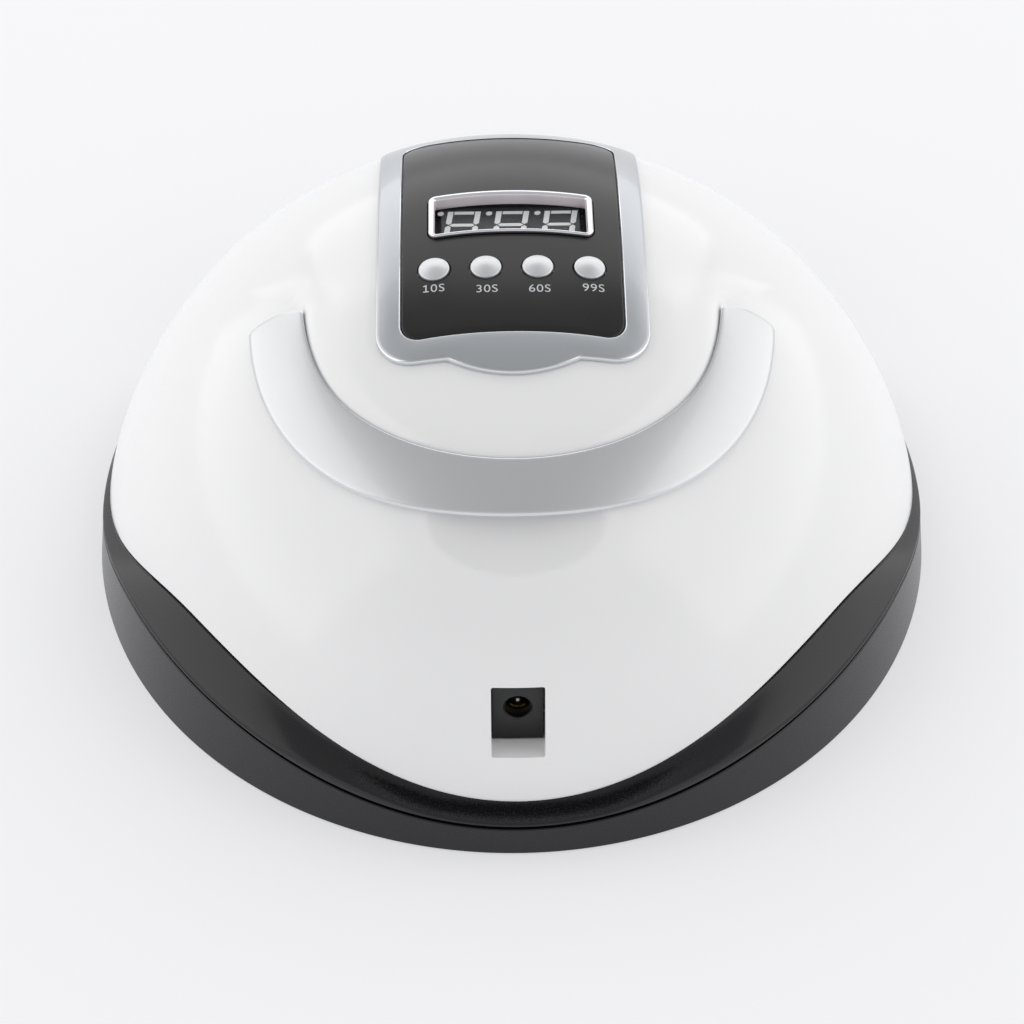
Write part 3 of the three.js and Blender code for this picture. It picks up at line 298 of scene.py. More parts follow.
# From millimetres to the scene, with a matrix in mm first
def placed(bm, matrix, verts=None):
    bmesh.ops.transform(bm, matrix=Matrix.Scale(mm, 4) @ (matrix or Matrix()), verts=verts or bm.verts)
    return bm


def bevelEdges(bm, edges, offset, segments):
    bmesh.ops.bevel(bm, geom=edges, offset=offset, segments=segments, profile=0.5, material=-1,
                    affect="EDGES", clamp_overlap=True)


# A grid whose points go to a table of places, columns first; its edges are joined where it wraps,
# and open ends are filled where it is capped
def sheetFrom(table, wrapColumns=False, wrapRows=False, capped=False):
    columns, rows = len(table), len(table[0])
    across, along = columns - 1 + wrapColumns, rows - 1 + wrapRows
    bm = bmesh.new()
    bmesh.ops.create_grid(bm, x_segments=across, y_segments=along, size=1)
    for vert in bm.verts:
        i = round((vert.co.x + 1) * across / 2) % columns
        j = round((vert.co.y + 1) * along / 2) % rows
        vert.co = Vector(table[i][j]) * mm
    cleaned(bm)
    if capped:
        bmesh.ops.holes_fill(bm, edges=[e for e in bm.edges if e.is_boundary], sides=0)
        bmesh.ops.recalc_face_normals(bm, faces=bm.faces)
    return bm


def turnedMesh(profile, sides=48, matrix=None):
    bm = bmesh.new()
    verts = [bm.verts.new((radius, 0, z)) for radius, z in profile]
    edges = [bm.edges.new(pair) for pair in zip(verts, verts[1:])]
    if profile[0][0] and profile[-1][0]:
        edges.append(bm.edges.new((verts[-1], verts[0])))
    bmesh.ops.spin(bm, geom=verts + edges, cent=(0, 0, 0), axis=(0, 0, 1), angle=2 * pi, steps=sides,
                   use_merge=True, use_duplicate=False)
    return placed(cleaned(bm), matrix)


def cylinderMesh(radius, low, high, matrix, sides=40):
    return turnedMesh([(0, low), (radius, low), (radius, high), (0, high)], sides, matrix)


def boxMesh(low, high, matrix=None, corner=0.0, uprightOnly=False):
    bm = bmesh.new()
    bmesh.ops.create_cube(bm, size=1)
    size = [b - a for a, b in zip(low, high)]
    bmesh.ops.scale(bm, vec=size, verts=bm.verts)
    bmesh.ops.translate(bm, vec=[(a + b) / 2 for a, b in zip(low, high)], verts=bm.verts)
    if corner:
        edges = [e for e in bm.edges if not uprightOnly or abs(e.verts[0].co.z - e.verts[1].co.z) > 1e-4]
        bevelEdges(bm, edges, corner, 3)
    return placed(bm, matrix)


def prismMesh(outlines, shift, matrix=None):
    bm = bmesh.new()
    for points in outlines:
        bm.faces.new([bm.verts.new(p) for p in points])
    grownPart = bmesh.ops.extrude_face_region(bm, geom=list(bm.faces))["geom"]
    moved = [v for v in grownPart if isinstance(v, bmesh.types.BMVert)]
    bmesh.ops.translate(bm, vec=shift, verts=moved)
    bmesh.ops.recalc_face_normals(bm, faces=bm.faces)
    return placed(bm, matrix)


def pieceFrom(name, bm, cuts=()):
    mesh = bpy.data.meshes.new(name)
    bm.to_mesh(mesh)
    bm.free()
    piece = bpy.data.objects.new(name, mesh)
    bpy.context.scene.collection.objects.link(piece)
    if cuts:
        carve(piece, cuts)
    return piece


def evaluatedMesh(item):
    return bpy.data.meshes.new_from_object(item.evaluated_get(bpy.context.evaluated_depsgraph_get()))


def carve(piece, shapes, operation="DIFFERENCE"):
    cutters = [pieceFrom("cutter", bm) for bm in shapes]
    for cutter in cutters:
        modifier = piece.modifiers.new("carve", "BOOLEAN")
        modifier.operation, modifier.solver, modifier.object = operation, "EXACT", cutter
    mesh = evaluatedMesh(piece)
    piece.modifiers.clear()
    piece.data = mesh
    for cutter in cutters:
        bpy.data.objects.remove(cutter)


def dress(piece, materials, nodes=(), sharp=38, body="lamp"):
    mesh = piece.data
    if mesh.materials:
        mesh.materials.clear()
    for material in materials if isinstance(materials, list) else [materials]:
        mesh.materials.append(material)
    mesh.shade_smooth()
    mesh.set_sharp_from_angle(angle=radians(sharp))
    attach(piece, body)
    if nodes:
        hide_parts(*nodes)


# Gives the faces that tilt away from the dome the second material of a trim
def markEdges(bm, surface, tilt=30):
    bm.normal_update()
    for face in bm.faces:
        flat = face.normal.dot(domeNormal(surface, face.calc_center_median() / mm)) > cos(radians(tilt))
        face.material_index = 0 if flat else 1
    return bm


# hand opening, shared by the housing, the lining and the base

mouth = {"halfWidth": 95, "top": 62, "low": -30, "corner": 40, "start": 20, "end": 150, "cornerSteps": 24,
         "wall": 2.2}


def archOutline(inset, low, sideSteps=1, topSteps=1):
    halfWidth, top, corner = (mouth[key] - inset for key in ("halfWidth", "top", "corner"))
    points = [(halfWidth, z) for z in stepsOf(low, top - corner, sideSteps)]
    for angle in stepsOf(0, pi / 2, mouth["cornerSteps"]):
        points.append((halfWidth - corner + corner * cos(angle), top - corner + corner * sin(angle)))
    points += [((halfWidth - corner) * (1 - k / topSteps), top) for k in range(topSteps)]
    return points + [(0, top)] + [(-x, z) for x, z in reversed(points)]


def tunnelMesh(inset=0, low=mouth["low"]):
    outline = [(x, mouth["start"], z) for x, z in archOutline(inset, low)]
    return prismMesh([outline], (0, mouth["end"] - mouth["start"], 0))


# silver arc of the grip: plan and edge of the raised top

arc = {
    "centreY": -1, "inner": 57.6, "outer": 70.6, "innerSquare": 0.7, "outerSquare": 2.7, "innerEnd": 1.8,
    "endTurn": 45, "halfTurn": 85.5, "innerRise": 1.7, "outerRise": 2.7, "crownRise": 0.45, "undercut": 2.2,
    "clearance": 0.4, "stations": 220, "bulge": 1.3, "bulgeTurns": 9, "footRise": 0.3,
    # Shares of the width and drops of the top there
    "tops": [(0.0, -0.45), (0.012, -0.17), (0.035, -0.03), (0.08, 0), (0.2, 0), (0.35, 0), (0.5, 0),
             (0.65, 0), (0.8, 0), (0.94, 0), (0.965, -0.05), (0.985, -0.22), (0.996, -0.5), (1.0, -0.8)],
    # Turns back from each end, and how much the section is lowered and drawn in there
    "ends": [(0, 0.45, 0.35, True), (0, 0.45, 0.35), (0.12, 0.12, 0.12)], "endRound": 0.5,
}


def arcInner(turn):
    drawn = ease((abs(turn) - arc["endTurn"]) / (arc["halfTurn"] - arc["endTurn"]))
    return arc["inner"] + arc["innerSquare"] * sin(2 * radians(turn)) ** 2 - arc["innerEnd"] * drawn


def arcOuter(turn):
    return arc["outer"] + arc["outerSquare"] * sin(2 * radians(turn)) ** 2


# The raised top ends along the arc, then along a hook that fades out towards the front
plateau = {
    "roll": 6.2, "slit": 0.35, "softer": 11, "softLength": 34, "softRoll": 8, "fadeFrom": 20, "fade": 0.5,
    "powers": (2.5, 1.7),
    "hook": [(61, 9.1), (65.7, 21.6), (73, 33), (86, 41), (104, 46), (130, 50), (160, 54)],
}


def plateauEdge():
    arcSteps = 170
    turns = [arc["halfTurn"] * k / arcSteps for k in range(arcSteps + 1)]
    points = [around(t, arcInner(t) - arc["clearance"], 0, arc["centreY"]).to_2d() for t in turns]
    ends = [points[-1]] + [Vector(p) for p in plateau["hook"]]
    knots = [points[-12]] + ends + [2 * ends[-1] - ends[-2]]
    for a, b, c, d in zip(knots, knots[1:], knots[2:], knots[3:]):
        for k in range(1, 25):
            t = k / 24
            points.append(0.5 * (2 * b + (c - a) * t + (2 * a - 5 * b + 4 * c - d) * t ** 2
                                 + (3 * b - a - 3 * c + d) * t ** 3))
    return points, arcSteps


edgePoints, arcEndIndex = plateauEdge()
edgeTree = KDTree(len(edgePoints))
edgeAlong, edgeOutward = [0.0], []
for index, point in enumerate(edgePoints):
    edgeTree.insert((point.x, point.y, 0), index)
    ahead = edgePoints[min(index + 1, len(edgePoints) - 1)] - edgePoints[max(index - 1, 0)]
    edgeOutward.append(Vector((ahead.y, -ahead.x)).normalized())
    if index:
        edgeAlong.append(edgeAlong[-1] + (point - edgePoints[index - 1]).length)
edgeTree.balance()


# Share of the full rise at a point of the plan: 1 on the raised top, 0 outside it
def plateauShare(x, y):
    index = edgeTree.find((abs(x), y, 0))[1]
    beyond = edgeAlong[index] - edgeAlong[arcEndIndex]
    distance = (Vector((abs(x), y)) - edgePoints[index]).dot(edgeOutward[index])
    soft = ease(beyond / plateau["softLength"])
    fade = max(beyond - plateau["fadeFrom"], 0) * plateau["fade"]
    inside = plateau["roll"] + plateau["softRoll"] * soft + fade
    outside = plateau["slit"] + plateau["softer"] * soft + fade
    share = min(max((distance + inside) / (inside + outside), 0), 1)
    across, up = plateau["powers"]
    rolled = (1 - share ** across) ** (1 / up)
    return mixOf(rolled, 1 - ease(share), soft)


# white housing

housing = {
    "columns": 360, "middleRows": 16, "wallRows": 72, "innerRows": 18, "lip": 0.45,
    "rollPlaces": [-8, -7, -6, -5, -4, -3, -2.2, -1.5, -1, -0.6, -0.3, -0.1, 0.05, 0.2, 0.35],
    "underArcRows": 8, "pastArc": 0.6, "edge": [(0.08, 0.15), (0.3, 0), (1.9, 0), (2.25, 0.2)],
    "innerFrom": 1,
    "panelPocket": [(-26, -8.3, 90.5), (26, 32.2, 130)],
}
scoop = {"halfWidth": 22.8, "y": -69, "behind": 12.8, "ahead": 9, "depth": 4.8, "steep": 0.75, "wall": 0.8}
socket = {
    "y": -98.1, "z": 36.9, "tilt": 78, "halfWidth": 7, "below": 10.4, "above": 9.1, "sleeve": 1.6,
    "sleeveDepth": 3, "plate": 1.6, "hole": 3.5, "holeFlare": 0.45, "bodyHalfWidth": 4.5,
    "bodyHalfHeight": 5.5, "bodyDepth": 10, "bore": 3.2, "boreDepth": 8.4, "pin": 1, "pinLength": 7,
    "gap": 0.3, "corner": 0.6, "plateCorner": 0.25, "bodyCorner": 0.3, "springTurn": 50,
    # Rounded rim of the window: radius, least fold of its edges in degrees, and how near they lie
    "rimRound": 0.35, "rimFold": 35, "rimNear": 0.6, "rimSkin": 0.25,
    # Section of the contact: insets from the bore and places along it
    "spring": [(0, 0), (0, 3), (0.25, 5.5), (0.1, 6), (0.5, 6), (0.75, 5.4), (0.5, 3), (0.5, 0)],
}
socketMatrix = at(0, socket["y"], socket["z"]) @ Matrix.Rotation(radians(socket["tilt"]), 4, "X")


# Pushes a point of a dome in on to the ellipsoid of the finger scoop
def dented(point, surface, grow):
    away = point.y - scoop["y"]
    reach = scoop["behind"] if away < 0 else scoop["ahead"]
    share = max(1 - (point.x / (scoop["halfWidth"] + grow)) ** 2 - (away / (reach + grow)) ** 2, 0)
    return point - domeNormal(surface, point) * scoop["depth"] * share ** scoop["steep"] if share else point


def raisedPoint(x, y):
    share = plateauShare(x, y)
    return Vector((x, y, heightAt(grown(dome, 0, dome["raised"] * share), x, y)))


def housingColumn(turn):
    rim = arcInner(turn) - arc["clearance"]
    inner = rim + housing["rollPlaces"][0]
    radii = [inner * k / housing["middleRows"] for k in range(housing["middleRows"])]
    radii += [rim + place for place in housing["rollPlaces"]]
    last, outer = radii[-1], arcOuter(turn) + housing["pastArc"]
    radii += [mixOf(last, outer, (k + 1) / housing["underArcRows"]) for k in range(housing["underArcRows"])]
    column = []
    for radius in radii:
        spot = around(turn, radius, 0, arc["centreY"])
        column.append(raisedPoint(spot.x, spot.y))
    # From the foot of the arc down to the wavy edge
    edgeZ = waveHeight(shellEdge, turn)
    end = around(turn, radiusAt(outerDome, turn, edgeZ + housing["lip"]))
    startAngle, startLift = domeAngles(outerDome, column[-1].x, column[-1].y)
    endAngle = domeAngles(outerDome, end.x, end.y)[0]
    endLift = liftAt(outerDome, edgeZ + housing["lip"])
    endAngle += 2 * pi * round((startAngle - endAngle) / (2 * pi))
    for k in range(1, housing["wallRows"] + 1):
        share = k / housing["wallRows"]
        angle, lift = mixOf(startAngle, endAngle, share), mixOf(startLift, endLift, share)
        point = domePoint(outerDome, angle, lift)
        rise = dome["raised"] * plateauShare(point.x, point.y)
        column.append(domePoint(grown(dome, 0, rise), angle, lift))
    column = [dented(point, outerDome, 0) for point in column]
    # Rounded lower edge, then the inner side back up to the top
    edge = column[-1].to_2d().length
    for inset, z in housing["edge"]:
        column.append(around(turn, edge - inset, edgeZ + z))
    wallAngle = domeAngles(innerDome, end.x, end.y)[0]
    wallLift = liftAt(innerDome, edgeZ + housing["innerFrom"])
    for k in range(housing["innerRows"] + 1):
        lift = mixOf(wallLift, pi / 2, k / housing["innerRows"])
        column.append(dented(domePoint(innerDome, wallAngle, lift), innerDome, scoop["wall"]))
    return column


# Distance from the socket's plane out to the skin of the housing
def skinAbove(u, v):
    low, high = 0.0, 30.0
    for _ in range(30):
        middle = (low + high) / 2
        point = socketMatrix @ Vector((u, v, middle))
        outside = hypot(point.x / outerDome["halfWidth"], (point.y - crown) / reachOf(outerDome, -1)) >= 1
        if outside or point.z > heightAt(outerDome, point.x, point.y):
            high = middle
        else:
            low = middle
    return low


def socketSleeve():
    halfWidth = socket["halfWidth"] + socket["sleeve"]
    low, high = -socket["below"] - socket["sleeve"], socket["above"] + socket["sleeve"]
    corners = [(-halfWidth, low), (halfWidth, low), (halfWidth, high), (-halfWidth, high), (-halfWidth, low)]
    outline = [spot for a, b in zip(corners, corners[1:])
               for spot in zip(stepsOf(a[0], b[0], 8), stepsOf(a[1], b[1], 8))]
    middle, floor = (low + high) / 2, -socket["sleeveDepth"]
    table = []
    for u, v in outline:
        column = [(0, middle, floor), (u, v, floor)]
        column += [(a, b, skinAbove(a, b) - dome["wall"] / 2) for a, b in ((u, v), (0, middle))]
        table.append([socketMatrix @ Vector(p) for p in column])
    return sheetFrom(table, wrapColumns=True)


def makeHousing():
    steps = housing["columns"]
    table = [housingColumn(360 * (k / steps) - 180) for k in range(steps)]
    piece = pieceFrom("top_shell_skin", sheetFrom(table, wrapColumns=True))
    carve(piece, [socketSleeve()], "UNION")
    half = socket["halfWidth"]
    window = boxMesh((-half, -socket["below"], -through), (half, socket["above"], through), socketMatrix,
                     socket["corner"], uprightOnly=True)
    carve(piece, [window, tunnelMesh(), boxMesh(*housing["panelPocket"])])
    softenSocketRim(piece)
    dress(piece, glossWhiteAbs, ["top_shell"], sharp=32)


# Rounds the edge where the skin meets the window of the socket
def softenSocketRim(piece):
    bm = bmesh.new()
    bm.from_mesh(piece.data)
    inverse = socketMatrix.inverted()
    near, edges = socket["rimNear"], []
    for edge in bm.edges:
        if len(edge.link_faces) != 2 or edge.calc_face_angle(0) < radians(socket["rimFold"]):
            continue
        spots = [inverse @ (vert.co / mm) for vert in edge.verts]
        if all(abs(s.x) < socket["halfWidth"] + near and s.z > 1 and
               -socket["below"] - near < s.y < socket["above"] + near and
               abs(s.z - skinAbove(s.x, s.y)) < socket["rimSkin"] for s in spots):
            edges.append(edge)
    bevelEdges(bm, edges, socket["rimRound"] * mm, 3)
    bm.to_mesh(piece.data)
    bm.free()


makeHousing()
print("housing ready")


# dark base: upper band with its shoulder, and lower ring

skirt = {
    "shoulderDrop": 4.2, "dropShare": 0.85, "inner": 3, "innerShare": 0.5, "topGap": 0.5, "ribHeight": 3.5,
    "ribThick": 1.6, "ribGap": 1.4, "bevel": 0.25, "channelFrom": 14, "channelTo": 42, "foot": 0.9,
    # Places across the step, then heights, as shares: a channel at the back, a straight slope at the sides
    "across": [0.0, 0.02, 0.06, 0.12, 0.2, 0.32, 0.46, 0.6, 0.74, 0.86, 0.95, 1.0],
    "channel": [0.0, 0.05, 0.09, 0.115, 0.12, 0.12, 0.12, 0.12, 0.14, 0.25, 0.55, 1.0],
    # At the back the last places also go in under the edge of the housing
    "under": [0.0, 0.0, 0.0, 0.0, 0.0, 0.0, 0.05, 0.15, 0.4, 0.75, 0.95, 1.0], "underDepth": 3.1,
    "slope": [0.0, 0.04, 0.09, 0.155, 0.24, 0.36, 0.5, 0.635, 0.765, 0.875, 0.955, 1.0],
}


def skirtSection(turn):
    low = waveHeight(seam, turn) + base["seamGap"] / 2
    top = waveHeight(shellEdge, turn) - skirt["topGap"]
    slope = ease((abs(turn) - skirt["channelFrom"]) / (skirt["channelTo"] - skirt["channelFrom"]))
    drop = min(skirt["shoulderDrop"], skirt["dropShare"] * (top - low))
    shoulder = top - mixOf(drop, top - low - skirt["foot"], slope)
    inner = top - min(skirt["inner"], skirt["innerShare"] * (top - low))
    edge = radiusAt(outerDome, turn, top)
    bevel = skirt["bevel"]
    radius = baseRadius(low)
    section = [(radius - bevel, low), (radius, low + bevel), (radius, mixOf(low + bevel, shoulder, 0.5))]
    step = baseRadius(shoulder) - edge
    rows = [skirt[key] for key in ("across", "channel", "slope", "under")]
    for across, channel, straight, under in zip(*rows):
        height = mixOf(channel, straight, slope)
        radius = baseRadius(shoulder) - step * across - under * skirt["underDepth"] * (1 - slope)
        section.append((radius, mixOf(shoulder, top, height)))
    rib = radiusAt(innerDome, turn, top) - skirt["ribGap"]
    ribTop = radiusAt(innerDome, turn, top + skirt["ribHeight"]) - skirt["ribGap"]
    ribZ, thick = top + skirt["ribHeight"], skirt["ribThick"]
    section += [(rib, top), (ribTop, ribZ), (ribTop - thick, ribZ), (rib - thick, inner),
                (baseRadius(low) - base["wall"], low)]
    return [around(turn, radius, z) for radius, z in section]


def ringMesh(section):
    steps = base["columns"]
    table = [section(360 * k / steps - 180) for k in range(steps)]
    return sheetFrom(table, wrapColumns=True, wrapRows=True)


def makeSkirt():
    piece = pieceFrom("lower_skirt_band", ringMesh(skirtSection), [tunnelMesh()])
    dress(piece, satinCharcoalAbs, ["lower_skirt"], sharp=35)


rim = {"flangeLow": 3.6, "flangeTop": 6.6, "flangeInset": 3, "bevel": 0.25, "sideBevel": 0.35, "lip": 0.4,
       "groove": 1.2, "tongue": 1.7, "tongueRise": 0.8}
magnets = {"radius": 5, "gap": 0.3, "thick": 1.8, "lampPocket": 2.1, "lampZ": 3.9, "trayZ": 1.8,
           "places": [(-88, -55), (88, -55), (-88, 18), (88, 18)]}
baseScrews = {"head": 2.8, "headThick": 1.5, "recess": 2, "shaft": 1.4, "length": 7.7, "radius": 108.2,
              "z": 3.9, "turns": (-100, -36, 36, 100), "hole": 1.7, "headHole": 3.1, "cross": (1.5, 0.35)}
feet = {"radius": 6, "gap": 0.3, "thick": 1, "places": [(-66, -66), (66, -66), (-66, 66), (66, 66)]}


def rimSection(turn):
    top = waveHeight(seam, turn) - base["seamGap"] / 2
    bevel = mixOf(rim["bevel"], rim["sideBevel"], ease((abs(turn) - 15) / 45))
    inner = radiusAt(linerInner, turn, foot) - rim["flangeInset"]
    wall, clear, low, high = base["wall"], base["clearance"], rim["flangeLow"], rim["flangeTop"]
    lower, upper, tongue = baseRadius(clear), baseRadius(top), baseRadius(top) - rim["tongue"]
    grooveZ, tongueZ = top - rim["groove"], top + rim["tongueRise"]
    section = [
        (lower - 0.25, clear), (lower, clear + 0.25), (upper, top - bevel), (upper - bevel, top),
        (upper - rim["lip"], top - 0.1), (upper - rim["lip"] - 0.1, grooveZ), (tongue, grooveZ),
        (tongue, tongueZ), (upper - wall, tongueZ), (baseRadius(high) - wall, high), (inner, high),
        (inner, low), (baseRadius(low) - wall, low), (lower - wall, clear),
    ]
    return [around(turn, radius, z) for radius, z in section]


def makeRim():
    cutters, low = [], rim["flangeLow"]
    for turn in baseScrews["turns"]:
        spot = at(*around(turn, baseScrews["radius"]))
        cutters += [cylinderMesh(baseScrews["hole"], below, 12, spot, 24),
                    cylinderMesh(baseScrews["headHole"], below, low + baseScrews["recess"], spot, 32)]
    pocket = magnets["radius"] + magnets["gap"]
    cutters += [cylinderMesh(pocket, below, low + magnets["lampPocket"], at(*place))
                for place in magnets["places"]]
    half = base["frontHalfWidth"] + base["frontGap"]
    cutters += [boxMesh((-half, 0, -through), (half, mouth["end"], through)), tunnelMesh(0, rim["flangeTop"])]
    piece = pieceFrom("base_rim_ring", ringMesh(rimSection), cutters)
    dress(piece, satinCharcoalAbs, ["base_rim"], sharp=25)


makeSkirt()
makeRim()
print("base ready")


# silver arc

def arcSection(turn, lower=0.0, draw=0.0, closed=False):
    inner, outer = arcInner(turn) + draw, arcOuter(turn) - draw
    weight = ease((abs(turn) - arc["halfTurn"] + arc["bulgeTurns"]) / arc["bulgeTurns"])
    upper, under = [], []
    for share, drop in arc["tops"]:
        bulge = arc["bulge"] * weight * (1 - (2 * share - 1) ** 2) * (1 if turn > 0 else -1)
        spot = around(turn + bulge, mixOf(inner, outer, share), 0, arc["centreY"])
        rise = mixOf(arc["innerRise"], arc["outerRise"], share) + arc["crownRise"] * 4 * share * (1 - share)
        spot.z = heightAt(outerDome, spot.x, spot.y) + rise + drop - lower
        upper.append(spot)
        spot = around(turn + bulge, mixOf(inner, outer - arc["undercut"], share), 0, arc["centreY"])
        spot.z = heightAt(outerDome, spot.x, spot.y) + arc["footRise"]
        under.append(spot)
    return upper + (upper if closed else under)[::-1]


def makeArc():
    half, count, last = arc["halfTurn"], arc["stations"], arc["halfTurn"] - arc["endRound"]
    table = [arcSection(back - half, *rest) for back, *rest in arc["ends"]]
    table += [arcSection(mixOf(-last, last, k / count)) for k in range(count + 1)]
    table += [arcSection(half - back, *rest) for back, *rest in reversed(arc["ends"])]
    piece = pieceFrom("handle_trim_arc", markEdges(sheetFrom(table, wrapRows=True), outerDome))
    dress(piece, [silverLacquer, polishedEdge], ["handle_trim"], sharp=40)


makeArc()
print("arc ready")


# control panel: frame, fascia and bezel are lofted between matching loops

tongue = {"halfWidth": 17.4, "depth": 5}
panelFrame = {
    "halfWidth": 36, "back": -32.9, "front": 76, "backCorner": 10.5, "frontCorner": 15, "top": 1.8,
    "crown": 0.12, "crownSteps": 7,
    # Insets and heights of its two edges, the second from the edge of the fascia
    "outerEdge": [(0.1, 0.3), (0, 0.5), (0, 1.15), (0.1, 1.42), (0.3, 1.62), (0.6, 1.76), (0.95, 1.8)],
    "innerEdge": [(-0.95, 1.8), (-0.7, 1.77), (-0.5, 1.68), (-0.3, 1.5), (-0.3, 1.0), (-0.35, 0.3)],
}
fascia = {"halfWidth": 29.3, "back": -26, "front": 66, "backCorner": 5, "frontCorner": 8, "low": 0.3,
          "top": 1.4, "gap": 0.3, "backArch": 0.9}
bezel = {
    "halfWidth": 22.2, "back": 9.6, "front": 27.4, "backCorner": 2.4, "frontCorner": 2.4, "backArch": 1.3,
    "frontArch": 1.2, "wall": 1.8, "slimBack": 0.4, "low": -4.2, "paintEnd": -1.3, "paintTilt": 0.35,
    # Insets and heights of the rounded rim
    "rim": [(0, 1.9), (0.08, 2.25), (0.3, 2.5), (0.65, 2.6), (1.15, 2.56), (1.5, 2.36), (1.72, 2.05),
            (1.8, 1.6)],
}
display = {
    "y": 19.9, "drop": 1.2, "tilt": -4.5, "lensThick": 0.8, "gap": 0.3, "caseHalfWidth": 18.8,
    "caseBack": -6.6, "caseFront": 7, "caseHeight": 8.8, "pitch": 13.1, "digitWidth": 8.9,
    "digitHeight": 12, "digitY": -1.0, "upright": 1.5, "level": 1.2, "slit": 0.3, "slant": 7,
    "dot": 0.85, "dotAway": 1.9, "print": 0.12, "caseCorner": 0.25,
}
displayMatrix = at(0, display["y"], heightAt(raisedDome, 0, display["y"]) - display["drop"])
displayMatrix = displayMatrix @ Matrix.Rotation(radians(display["tilt"]), 4, "X")
tongueShare = tongue["halfWidth"] / (panelFrame["halfWidth"] - panelFrame["backCorner"])
backShares = stepsOf(-1, -tongueShare, 8) + stepsOf(-tongueShare, tongueShare, 40)
backShares += stepsOf(tongueShare, 1, 8)


# Loop of a rounded panel, drawn in by an inset, from the left end of its back edge onwards
def panelLoop(panel, inset=0.0):
    halfWidth, back, front = panel["halfWidth"] - inset, panel["back"] + inset, panel["front"] - inset
    backCorner, frontCorner = (max(panel[key] - inset, 0.15) for key in ("backCorner", "frontCorner"))
    points = []
    for share in backShares:
        bow = 0.0
        if panel is panelFrame and abs(share) < tongueShare:
            bow = -tongue["depth"] * (1 - (share / tongueShare) ** 2)
        if "backArch" in panel:
            bow = panel["backArch"] * (1 - share ** 2)
        points.append((share * (halfWidth - backCorner), back + bow))

    def addCorner(x, y, radius, start):
        for angle in stepsOf(start, start + pi / 2, 12):
            points.append((x + radius * cos(angle), y + radius * sin(angle)))

    def addSide(x, y0, y1):
        points.extend((x, y) for y in stepsOf(y0, y1, 48))

    addCorner(halfWidth - backCorner, back + backCorner, backCorner, -pi / 2)
    addSide(halfWidth, back + backCorner, front - frontCorner)
    addCorner(halfWidth - frontCorner, front - frontCorner, frontCorner, 0)
    for share in stepsOf(1, -1, 24):
        bow = panel.get("frontArch", 0) * (1 - share ** 2)
        points.append((share * (halfWidth - frontCorner), front + bow))
    addCorner(-halfWidth + frontCorner, front - frontCorner, frontCorner, pi / 2)
    addSide(-halfWidth, front - frontCorner, back + backCorner)
    addCorner(-halfWidth + backCorner, back + backCorner, backCorner, pi)
    return points


# Rows are pairs of a loop and a height over the raised top
def loftPanel(rows):
    table = []
    for column in zip(*[loop for loop, _ in rows]):
        table.append([(x, y, heightAt(raisedDome, x, y) + rise) for (x, y), (_, rise) in zip(column, rows)])
    return sheetFrom(table, wrapColumns=True, wrapRows=True)


def blendLoops(loopA, loopB, share):
    return [(mixOf(a[0], b[0], share), mixOf(a[1], b[1], share)) for a, b in zip(loopA, loopB)]


def makePanelFrame():
    rows, innerRows = ([(panelLoop(panel, inset), rise) for inset, rise in panelFrame[key]]
                       for panel, key in ((panelFrame, "outerEdge"), (fascia, "innerEdge")))
    first, last, steps = rows[-1][0], innerRows[0][0], panelFrame["crownSteps"]
    for k in range(1, steps):
        rise = panelFrame["top"] + panelFrame["crown"] * sin(pi * k / steps)
        rows.append((blendLoops(first, last, k / steps), rise))
    rows += innerRows
    piece = pieceFrom("panel_frame_trim", markEdges(loftPanel(rows), raisedDome))
    # The frame gets the silver lacquer painted darker, as painted shade
    dress(piece, [shadedPanelLacquer, polishedEdge], ["panel_frame"], sharp=40)


buttons = {
    "places": {"10s": -20.6, "30s": -6.867, "60s": 6.867, "99s": 20.6}, "y": -2.5, "radius": 4.1,
    "clearance": 0.5, "proud": 1.5, "domeRise": 0.9, "flange": 4.9, "flangeThick": 0.8, "stem": 1.5,
    "plungerTop": 95.2, "gap": 0.3,
    # Insets and heights of the rounded shoulder of the cap
    "shoulder": [(0, -0.5), (0, -0.25), (0.08, -0.05), (0.25, 0.06), (0.5, 0.13)],
}


def makeFascia():
    low, top = fascia["low"], fascia["top"]
    outerLoop, innerLoop = panelLoop(fascia, 0.3), panelLoop(bezel, -fascia["gap"])
    rows = [(panelLoop(fascia), low), (panelLoop(fascia), top - 0.3), (panelLoop(fascia, 0.1), top - 0.1)]
    rows += [(blendLoops(outerLoop, innerLoop, k / 18), top) for k in range(19)]
    holes = [cylinderMesh(buttons["radius"] + buttons["clearance"], 90, 120, at(x, buttons["y"]), 64)
             for x in buttons["places"].values()]
    piece = pieceFrom("control_fascia_panel", loftPanel(rows + [(innerLoop, low)]), holes)
    dress(piece, blackAcrylic, ["control_fascia"], sharp=32)


def makeBezel():
    low, wall, paintEnd = bezel["low"], bezel["wall"], bezel["paintEnd"]
    edges = [(0, low), *bezel["rim"], (wall, paintEnd), (wall, low)]
    # The ring is slimmer at the back
    bm = loftPanel([(panelLoop({**bezel, "back": bezel["back"] - bezel["slimBack"] * inset}, inset), rise)
                    for inset, rise in edges])
    bm.normal_update()
    # The inner wall is painted: its faces look towards the middle of the window
    for face in bm.faces:
        centre = face.calc_center_median()
        inward = face.normal.dot(centre - Vector((0, display["y"] * mm, centre.z))) < 0
        if inward and abs(face.normal.z) < bezel["paintTilt"]:
            bare = centre.z / mm < heightAt(raisedDome, centre.x / mm, centre.y / mm) + paintEnd
            face.material_index = 2 if bare else 1
    dress(pieceFrom("display_bezel_ring", bm), [chromePlate, silverPaint, mouldedBlack],
          ["display_bezel"], sharp=40)


makePanelFrame()
makeFascia()
makeBezel()
print("panel ready")


# display under the bezel

